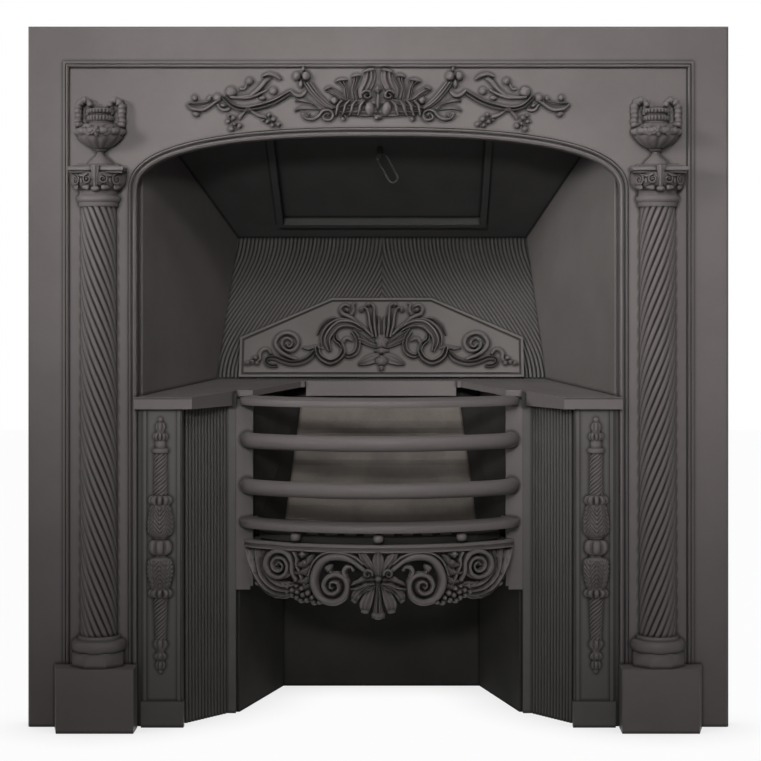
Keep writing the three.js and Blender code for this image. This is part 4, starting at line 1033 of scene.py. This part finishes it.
def build_wave_tree():
    """Reeds that all follow one S-shaped bend, side by side across the panel."""
    waves = RuleTree("waved_reeds", {
        "Count": 40, "Pitch": 0.006, "First": 0.0, "Height": 0.23, "Sway": 0.09, "Radius": 0.003,
    })
    given = waves.given
    share = waves.node("GeometryNodeSplineParameter")
    wave = waves.math("COSINE", waves.math("MULTIPLY", share, math.pi))
    sway = waves.math("MULTIPLY", waves.math("MULTIPLY_ADD", wave, 0.5, 0.5), given["Sway"])
    line = waves.straight("Y", 26)
    bent = waves.node("GeometryNodeSetPosition", Geometry=line, Offset=waves.vector(X=sway))
    section = waves.node("GeometryNodeCurvePrimitiveCircle", Resolution=8, Radius=given["Radius"])
    row = waves.row(waves.vector(X=given["First"]), waves.vector(X=given["Pitch"]))
    return waves.cast(waves.node("GeometryNodeInstanceOnPoints", Points=row,
                                 Instance=waves.sweep(bent, section)))


def panel_reeds():
    """Back panel: the reeds of the right half sway outwards on the way down; the left half mirrors them."""
    margin = 0.6
    radius = PANEL_REED_PITCH * 0.52
    sunk = radius * 0.08
    clear_of_middle, clear_of_cheek = 0.02, 0.4
    waves = grown("panel_reeds", build_wave_tree(), {
        "Count": int((PANEL_HALF + PANEL_REED_SWAY) / PANEL_REED_PITCH), "Pitch": PANEL_REED_PITCH * MM,
        "First": (PANEL_REED_PITCH / 2 - PANEL_REED_SWAY) * MM,
        "Height": (PANEL_CLIMB.length - 2 * margin) * MM, "Sway": PANEL_REED_SWAY * MM, "Radius": radius * MM,
    }, SHADED_NICHE_IRON)
    lean = Matrix(((1, 0, 0), (0, PANEL_RISE.y, PANEL_OUT.y), (0, PANEL_RISE.z, PANEL_OUT.z))).to_4x4()
    waves.transform(Matrix.Translation(in_row(*on_panel(0, margin, -sunk))) @ lean)
    middle = in_row(clear_of_middle, 0, 0)
    cheek = in_row(niche_half_at(0) - clear_of_cheek, 0, 0)
    reshaped(waves, cut_beyond(middle, (-1, 0, 0)), cut_beyond(cheek, NICHE_OUTWARD))
    for hand, side in SIDES:
        half = waves.copy()
        half.transform(Matrix.Diagonal((hand, 1, 1, 1)))
        add_piece(f"panel_reeds_{side}", half, SHADED_PANEL_IRON, crease=60)


# ---- columns ----
def build_shaft_tree():
    """A lobed shaft that twists evenly on its way up and narrows a little."""
    shaft = RuleTree("twisted_shaft", {
        "Radius": 0.025, "Groove": 0.002, "Lobes": 16.0, "Height": 0.6, "Turns": 2.0, "Narrowing": 0.04,
    })
    given = shaft.given
    share = shaft.node("GeometryNodeSplineParameter")
    narrowed = shaft.math("SUBTRACT", 1.0, shaft.math("MULTIPLY", share, given["Narrowing"]))
    tilt = shaft.math("MULTIPLY", shaft.math("MULTIPLY", share, given["Turns"]), TURN)
    tilted = shaft.node("GeometryNodeSetCurveTilt", Curve=shaft.straight("Z", 110), Tilt=tilt)
    ring = shaft.node("GeometryNodeCurvePrimitiveCircle", Resolution=96, Radius=given["Radius"])
    around = shaft.node("GeometryNodeSplineParameter")
    angle = shaft.math("MULTIPLY", shaft.math("MULTIPLY", around, TURN), given["Lobes"])
    groove = shaft.math("POWER", shaft.math("MULTIPLY_ADD", shaft.math("COSINE", angle), 0.5, 0.5), 5.0)
    inward = shaft.math("DIVIDE", shaft.math("MULTIPLY", groove, given["Groove"]), given["Radius"])
    place = shaft.node("GeometryNodeInputPosition")
    pulled = shaft.node("ShaderNodeVectorMath", _set={"operation": "SCALE"}, i0=place,
                        Scale=shaft.math("MULTIPLY", inward, -1.0))
    lobed = shaft.node("GeometryNodeSetPosition", Geometry=ring, Offset=pulled)
    return shaft.cast(shaft.sweep(tilted, lobed, Scale=narrowed))


def capital(skin, x):
    """Leafy capital: necking, a round drum with volutes and lobes, and the abacus with its leaf."""
    drum = [(26.5, 716), (27.3, 717), (27.5, 722), (28.6, 723), (29.9, 725), (29.9, 728.5),
            (28.4, 730.5), (27, 731.5), (26.2, 735), (27, 738.5), (32, 741), (36, 745), (37.6, 750),
            (37.8, 756), (36.5, 762)]
    lathe(skin, drum, x, COLUMN_Y, squeeze=CAPITAL_SQUEEZE)

    def on_drum(u, v, height):
        angle = u / CAPITAL_RADIUS
        ahead = (CAPITAL_FRONT + height) * math.cos(angle)
        return (x + CAPITAL_RADIUS * math.sin(angle), COLUMN_Y - ahead, v)

    def half(r):
        # outer and inner volute with their eyes, the roll above, the bud between and the lobes below
        r.curl(32, 752, 8, 2, 90, 1.6, [4, 3.6, 3], 5)
        r.boss(32, 752, 5, 5, 6, around=12)
        r.curl(11, 752.5, 6.6, 1.8, 90, -1.4, [3.6, 3.2, 2.8], 4)
        r.boss(11, 752.5, 4, 4, 5, around=12)
        r.stem([(10, 759.5), (20, 757), (32, 760)], [3, 3.4, 3], 3.5, tip=0.9)
        r.boss(21, 751, 7, 9, 3)
        r.boss(13, 741.5, 13, 8, 2.5, petals=3)
        r.boss(31, 742, 13, 8, 2.5, petals=3)

    front = Relief(on_drum, sink=6)
    front.both(half)
    front.blade([(-2.6, 741), (-3.2, 752), (-5, 762), (-6.6, 771)],
                [(2.6, 741), (3.2, 752), (5, 762), (6.6, 771)], 4.5, flutes=2)
    front.boss(0, 739.5, 12, 7, 3)
    skin.add(front.skin)
    for reach, ahead, low, high in ((36, 31, 761, 764), (38, 34, 764, 769.5), (30, 30, 769, URN_BASE)):
        block(skin, (x - reach, x + reach), (COLUMN_Y - ahead, ABACUS_BACK_Y), (low, high))


def columns(tree):
    pedestal = [(PEDESTAL_RADIUS, BLOCK_TOP + GAP), (PEDESTAL_RADIUS, 104), (36, 107)]
    base = [(32, 105), (33.5, 106), (36, 108.5), (37, 112), (37, 116), (36, 119.5), (33.5, 122),
            (29.5, 123), (29, 125.5), (28, 128)]
    height = SHAFT_TOP - SHAFT_BOTTOM
    for hand, side in SIDES:
        x = hand * COLUMN_X
        shaft = grown("shaft", tree, {
            "Radius": SHAFT_RADIUS * MM, "Groove": SHAFT_GROOVE * MM, "Lobes": float(SHAFT_LOBES),
            "Height": height * MM, "Turns": hand * height / SHAFT_LEAD, "Narrowing": SHAFT_NARROWING,
        }, FACE_IRON)
        shaft.transform(Matrix.Translation(in_row(x, COLUMN_Y, SHAFT_BOTTOM)))
        skin = Skin()
        lathe(skin, pedestal, x, COLUMN_Y, segments=8, turn=TURN / 16)
        lathe(skin, base, x, COLUMN_Y)
        capital(skin, x)
        whole = joined([shaft, skin.mesh("column_ends")], "column")
        add_piece(f"column_{side}_dressed", cut_at_plate(whole), FACE_IRON, replaces=(f"column_{side}",),
                  crease=42)


# ---- urns; heights are counted from the urn's foot ----
URN_BODY = [
    (17.5, 0.3), (17.5, 2.5), (15.8, 4.5), (15.4, 6), (10.5, 10), (6.5, 14), (5.3, 17), (5.3, 19), (8, 20.5),
    (10, 22), (9.4, 23.5), (13, 25, 1), (19, 28, 1), (25, 32, 1), (29, 36, 1), (31, 40), (31, 41.5),
    (34, 42.5, 1), (36, 44.5, 1), (36.4, 47, 1), (35.5, 49.5, 1), (33, 51), (29, 52.5), (25, 55), (19, 57.5),
    (16.5, 58.5), (16, 61), (18, 62.5, 2), (19, 64, 2), (19, 67, 2), (18, 69, 2), (15.5, 70), (15.5, 71.5),
    (18.5, 72.5, 2), (19.8, 74, 2), (19.8, 76.5, 2), (18, 78, 2), (13, 79),
]
URN_HANDLE = [
    (16, 70), (14.5, 78), (15.5, 87), (22, 89.5), (28.5, 84), (30, 76), (29.5, 68), (30, 60), (26, 52),
]
URN_HANDLE_WIDTHS = [6, 7, 6, 7.5, 6.5, 9, 7.5, 11, 8.5, 12, 9, 12, 9, 11.5, 8.5, 11, 8, 11.5, 9, 12, 8]


def urn_leaves(r):
    r.leaf([(9, 42), (20, 47), (33, 49)], 9, 2.5, lobes=3)
    r.leaf([(8, 50), (16, 54), (24, 52)], 6, -1, lobes=2)


def urns():
    for hand, side in SIDES:
        x = hand * URN_X
        skin = Skin()
        lathe(skin, [(radius, up + URN_BASE, *beads) for radius, up, *beads in URN_BODY], x, COLUMN_Y,
              segments=96, lobes=12, depth=0.1)

        def on_urn(u, v, height):
            angle = u / URN_RADIUS
            ahead = (URN_FRONT + height) * math.cos(angle)
            return (x + URN_RADIUS * math.sin(angle), COLUMN_Y - ahead, v + URN_BASE)
        front = Relief(on_urn, sink=9)
        front.boss(-2, 46, 18, 16, 4.5, petals=5, depth=0.35, around=40)
        front.boss(-2, 46, 6, 6, 5.8)
        front.both(urn_leaves)
        skin.add(front.skin)
        for turn in (-1, 1):
            line = smooth_line([(x + turn * u, up + URN_BASE) for u, up in URN_HANDLE], 8)
            wire(skin, [(u, COLUMN_Y - 5, z) for u, z in line], URN_HANDLE_WIDTHS, sides=12)
            for out, up, radius in ((13.5, 84, 4.4), (30, 56, 5)):
                bead(skin, x + turn * out, COLUMN_Y - 7, URN_BASE + up, radius)
        add_piece(f"urn_{side}_dressed", cut_at_plate(skin.mesh("urn")), FACE_IRON,
                  replaces=(f"urn_{side}",), crease=50)


# ---- balusters on the hob fronts ----
def build_twig_tree():
    """Ridges that wind round a slim stem: one round ridge, copied about the axis."""
    twig = RuleTree("wound_ridges", {
        "Ridges": 6, "Foot radius": 0.008, "Head radius": 0.008, "Height": 0.06, "Turns": 1.0,
        "Ridge size": 0.0018,
    })
    given = twig.given
    share = twig.node("GeometryNodeSplineParameter")
    angle = twig.math("MULTIPLY", twig.math("MULTIPLY", share, given["Turns"]), TURN)
    growth = twig.math("SUBTRACT", given["Head radius"], given["Foot radius"])
    reach = twig.math("MULTIPLY_ADD", share, growth, given["Foot radius"])
    away = twig.vector(X=twig.math("MULTIPLY", reach, twig.math("COSINE", angle)),
                       Y=twig.math("MULTIPLY", reach, twig.math("SINE", angle)))
    wound = twig.node("GeometryNodeSetPosition", Geometry=twig.straight("Z", 28), Offset=away)
    section = twig.node("GeometryNodeCurvePrimitiveCircle", Resolution=6, Radius=given["Ridge size"])
    axis = twig.node("GeometryNodeMeshLine", _set={"mode": "OFFSET"}, Count=given["Ridges"], Offset=(0, 0, 0))
    turn = twig.math("MULTIPLY", twig.node("GeometryNodeInputIndex"),
                     twig.math("DIVIDE", TURN, given["Ridges"]))
    return twig.cast(twig.node("GeometryNodeInstanceOnPoints", Points=axis,
                               Instance=twig.sweep(wound, section), Rotation=twig.vector(Z=turn)))


BALUSTER = [
    (1, 73.5), (3.3, 75.5), (3.6, 78.5), (3, 80), (6.5, 81.5, 0.6), (7.7, 86, 0.6), (6.5, 90.5, 0.6),
    (4.5, 92.5), (8, 94.5, 0.6), (9.4, 97.8, 0.6), (8, 101, 0.6), (5, 103.2), (5, 105), (7, 108.5),
    (9.5, 110.5, 0.6), (11, 114.5, 0.6), (9.5, 118.5, 0.6), (8, 120.5), (6.4, 121.5), (8.9, 178.5),
    (14.5, 180, 1), (17.4, 182.5, 1), (17.8, 186, 1), (15.5, 189, 1), (12.5, 190.5), (12.4, 193), (15, 202.6),
    (17.1, 211), (17.5, 220), (16.6, 228), (14.5, 232), (9, 234.3), (8.3, 236), (9, 237.5), (14, 239, 0.6),
    (17.2, 243.5, 0.6), (17.4, 248, 0.6), (16.9, 253, 0.6), (14, 257, 0.6), (8.3, 258.5), (8.3, 259.5),
    (10.4, 260.3), (10.4, 262), (13, 263.5), (16, 268), (17.5, 275), (16.8, 285), (14.6, 296), (12.8, 306),
    (14.5, 307.5, 1), (17, 310, 1), (17.4, 313.5, 1), (15, 317.5, 1), (10, 319), (8.1, 320), (7.5, 377.4),
    (11, 378.2), (11.9, 380.5), (11, 383.3), (7.6, 384.5), (7.2, 386), (7.9, 391), (7, 394.8), (9.5, 396, 1),
    (11, 400, 1), (9.5, 404, 1), (5.6, 405.5), (5.4, 407.5), (6.8, 409.5, 0.6), (7.8, 413.5, 0.6),
    (6.2, 418, 0.6), (3, 419.8), (3.3, 421), (4.2, 423.3), (3.2, 425.8), (1, 427),
]
LEAFY_BULBS = ((190.8, 233, 1), (263, 306.5, -1))
TWIGS = ((121, 58, 6.2, 8.7), (319.5, 58, 7.9, 7.3))


def baluster_radius(z):
    for (low_radius, low, *_), (high_radius, high, *_) in zip(BALUSTER, BALUSTER[1:]):
        if low <= z <= high:
            return low_radius + (high_radius - low_radius) * (z - low) / (high - low)
    return 0.0


def leafy_bulb(skin, x, low, high, up):
    """A bulb wrapped in six leaves, each with a midrib and veins that slant to its edges."""
    leaves, around = 6, 144
    vein_pitch, slant = 6.0, 11.0
    rise, blade, sunk = 0.8, 1.2, 0.4
    rings = []
    for i in range(int((high - low) / rise) + 1):
        z = low + i * rise
        fade = max(0, min(1, (z - low) / 3, (high - z) / 3))

        def reach_at(share):
            edge = abs(share * leaves % 1 - 0.5) * 2
            veins = 0.95 * math.cos(TURN * (z * up + slant * edge) / vein_pitch)
            midrib = 1.2 * max(0, 1 - edge * 6)
            notch = 1.8 * max(0, edge * 7 - 6)
            return baluster_radius(z) - sunk + (blade + veins + midrib - notch) * fade
        rings.append(turned_ring(x, 0, z, reach_at, around, BALUSTER_SQUEEZE))
    skin.tube(rings)


def balusters(tree):
    for hand, side in SIDES:
        x = hand * BALUSTER_X
        skin = Skin()
        lathe(skin, BALUSTER, x, 0, segments=80, squeeze=BALUSTER_SQUEEZE, lobes=10, depth=0.32)
        for low, high, up in LEAFY_BULBS:
            leafy_bulb(skin, x, low, high, up)
        parts = [skin.mesh("baluster")]
        for foot, height, low_radius, high_radius in TWIGS:
            ridges = grown("twig", tree, {
                "Ridges": TWIG_RIDGES, "Foot radius": low_radius * MM, "Head radius": high_radius * MM,
                "Height": height * MM, "Turns": height / TWIG_LEAD, "Ridge size": TWIG_RIDGE_RADIUS * MM,
            }, FACE_IRON)
            flatten = Matrix.Diagonal((1, BALUSTER_SQUEEZE, 1, 1))
            ridges.transform(Matrix.Translation(in_row(x, 0, foot)) @ flatten)
            parts.append(ridges)
        add_piece(f"baluster_{side}_dressed", cut_at_plate(joined(parts, "baluster")), FACE_IRON,
                  replaces=(f"baluster_{side}",), crease=50)


# ---- damper pull ----
def pull():
    """The ring of the damper: two straight flanks and two round ends, hung at a slant."""
    steps = 40
    low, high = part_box("damper_ring")
    y = (low.y + high.y) / 2 / MM - FACE_Y
    lean_c, lean_s = math.cos(RING_LEAN), math.sin(RING_LEAN)
    line = []
    for i, (c, s) in enumerate(circle(steps)):
        across = RING_HALF * s
        along = RING_HALF * (1 - c) + (RING_FLANK if steps / 4 < i < steps * 3 / 4 else 0)
        line.append((across * lean_c + along * lean_s, across * lean_s - along * lean_c))
    top = high.z / MM - RING_WIRE - max(v for _, v in line)
    rings = []
    for k, (u, v) in enumerate(line):
        (u0, v0), (u1, v1) = line[k - 1], line[(k + 1) % steps]
        length = math.dist((u0, v0), (u1, v1))
        out_u, out_v = -(v1 - v0) / length * RING_WIRE, (u1 - u0) / length * RING_WIRE
        rings.append([(u + out_u * c, y + RING_WIRE * s, top + v + out_v * c) for c, s in circle(10)])
    skin = Skin()
    skin.wall([*rings, rings[0]])
    add_piece("damper_ring_dressed", skin.mesh("damper_ring"), SHADED_CANOPY_IRON, body="pull",
              replaces=("damper_ring",))


# ---- room ----
def seen_rays(tree):
    """One where the camera, a reflection or a see-through ray meets the surroundings, nought elsewhere."""
    path = tree.nodes.new("ShaderNodeLightPath")
    value = path.outputs["Is Camera Ray"]
    for kind in ("Is Glossy Ray", "Is Transmission Ray"):
        either = tree.nodes.new("ShaderNodeMath")
        either.operation = "MAXIMUM"
        tree.links.new(value, either.inputs[0])
        tree.links.new(path.outputs[kind], either.inputs[1])
        value = either.outputs[0]
    return value


def mapped(tree, value, **ends):
    """Maps a value from one range to another; ends left out are nought and one."""
    made = tree.nodes.new("ShaderNodeMapRange")
    tree.links.new(value, made.inputs["Value"])
    for label, end in ends.items():
        made.inputs[label.replace("_", " ")].default_value = end
    return made.outputs[0]


def floor_finish():
    """Pale floor that glows white for the camera, and less so where the object shades it."""
    pale = bpy.data.materials.new("pale_floor")
    pale.use_nodes = True
    tree = pale.node_tree
    shader = tree.nodes["Principled BSDF"]
    shader.inputs["Base Color"].default_value = (0.8, 0.8, 0.8, 1)
    shader.inputs["Roughness"].default_value = 0.9
    openness = tree.nodes.new("ShaderNodeAmbientOcclusion")
    openness.inputs["Distance"].default_value = 0.1
    glow = tree.nodes.new("ShaderNodeEmission")
    glow.inputs["Color"].default_value = (1, 1, 1, 1)
    shadow = mapped(tree, openness.outputs["AO"], From_Min=0.4, To_Min=0.82)
    tree.links.new(shadow, glow.inputs["Strength"])
    mix = tree.nodes.new("ShaderNodeMixShader")
    tree.links.new(mapped(tree, seen_rays(tree), To_Max=0.97), mix.inputs[0])
    tree.links.new(shader.outputs[0], mix.inputs[1])
    tree.links.new(glow.outputs[0], mix.inputs[2])
    tree.links.new(mix.outputs[0], tree.nodes["Material Output"].inputs["Surface"])
    return pale


def stage_floor():
    reach = 6.0
    corners = [(-reach, -reach, 0), (reach, -reach, 0), (reach, reach, 0), (-reach, reach, 0)]
    mesh = bpy.data.meshes.new("pale_floor")
    mesh.from_pydata(corners, [], [(0, 1, 2, 3)])
    mesh.materials.append(floor_finish())
    floor = bpy.data.objects.new("pale_floor", mesh)
    bpy.context.scene.collection.objects.link(floor)


def area_light(name, place, aim, size, power, spread=180):
    """A soft box; the spread in degrees says how far its light fans out."""
    data = bpy.data.lights.new(name, "AREA")
    data.shape = "RECTANGLE"
    data.size, data.size_y = size
    data.spread = math.radians(spread)
    data.energy = power
    lamp = bpy.data.objects.new(name, data)
    lamp.location = place
    lamp.rotation_euler = (Vector(aim) - Vector(place)).to_track_quat("-Z", "Y").to_euler()
    bpy.context.scene.collection.objects.link(lamp)


def light_room():
    area_light("high_box", (0.35, -2.9, 2.4), (0.3, 0, 0.9), (1.0, 0.5), 1.95, spread=42)
    area_light("top_strip", (0.2, -1.1, 2.0), (0.2, 0, 0.7), (1.2, 0.25), 3.0)
    area_light("side_box", (-2.2, -1.6, 1.3), (0.45, 0.15, 0.8), (0.5, 0.5), 1.1, spread=25)
    area_light("low_strip", (-0.3, -3.2, 1.2), (0, 0.1, 0.55), (1.2, 0.22), 1.2, spread=24)
    world = bpy.data.worlds.new("white_room")
    bpy.context.scene.world = world
    world.use_nodes = True
    tree = world.node_tree
    shade = tree.nodes["Background"]
    shade.inputs["Color"].default_value = (1, 1, 1, 1)
    tree.links.new(mapped(tree, seen_rays(tree), To_Min=0.05), shade.inputs["Strength"])


IMAGE_SIDE = 761
SIGHT_COLUMN = 411
SIGHT_ROW = 300
FOCAL_PIXELS = 1962
SENSOR = 36
CAMERA_PLACE = (45, -2700, 588)


def camera():
    """Stands level in front, a little to the right; the view is shifted so that the object fills it."""
    data = bpy.data.cameras.new("view")
    data.sensor_width = SENSOR
    data.lens = SENSOR * FOCAL_PIXELS / IMAGE_SIDE
    data.shift_x = (IMAGE_SIDE / 2 - SIGHT_COLUMN) / IMAGE_SIDE
    data.shift_y = (SIGHT_ROW - IMAGE_SIDE / 2) / IMAGE_SIDE
    data.clip_start, data.clip_end = 0.05, 60
    seat = bpy.data.objects.new("view", data)
    seat.location = in_row(*CAMERA_PLACE)
    seat.rotation_euler = (math.pi / 2, 0, 0)
    bpy.context.scene.collection.objects.link(seat)
    bpy.context.scene.camera = seat
    bpy.context.scene.view_settings.view_transform = "Standard"


dress_nodes()
reed_tree = build_reed_tree()
cheek_reeds(reed_tree)
lower_cheek_reeds(reed_tree)
panel_reeds()
frieze()
plaque()
grate_bars()
fret()
fret_balls()
columns(build_shaft_tree())
urns()
balusters(build_twig_tree())
pull()
stage_floor()
light_room()
camera()
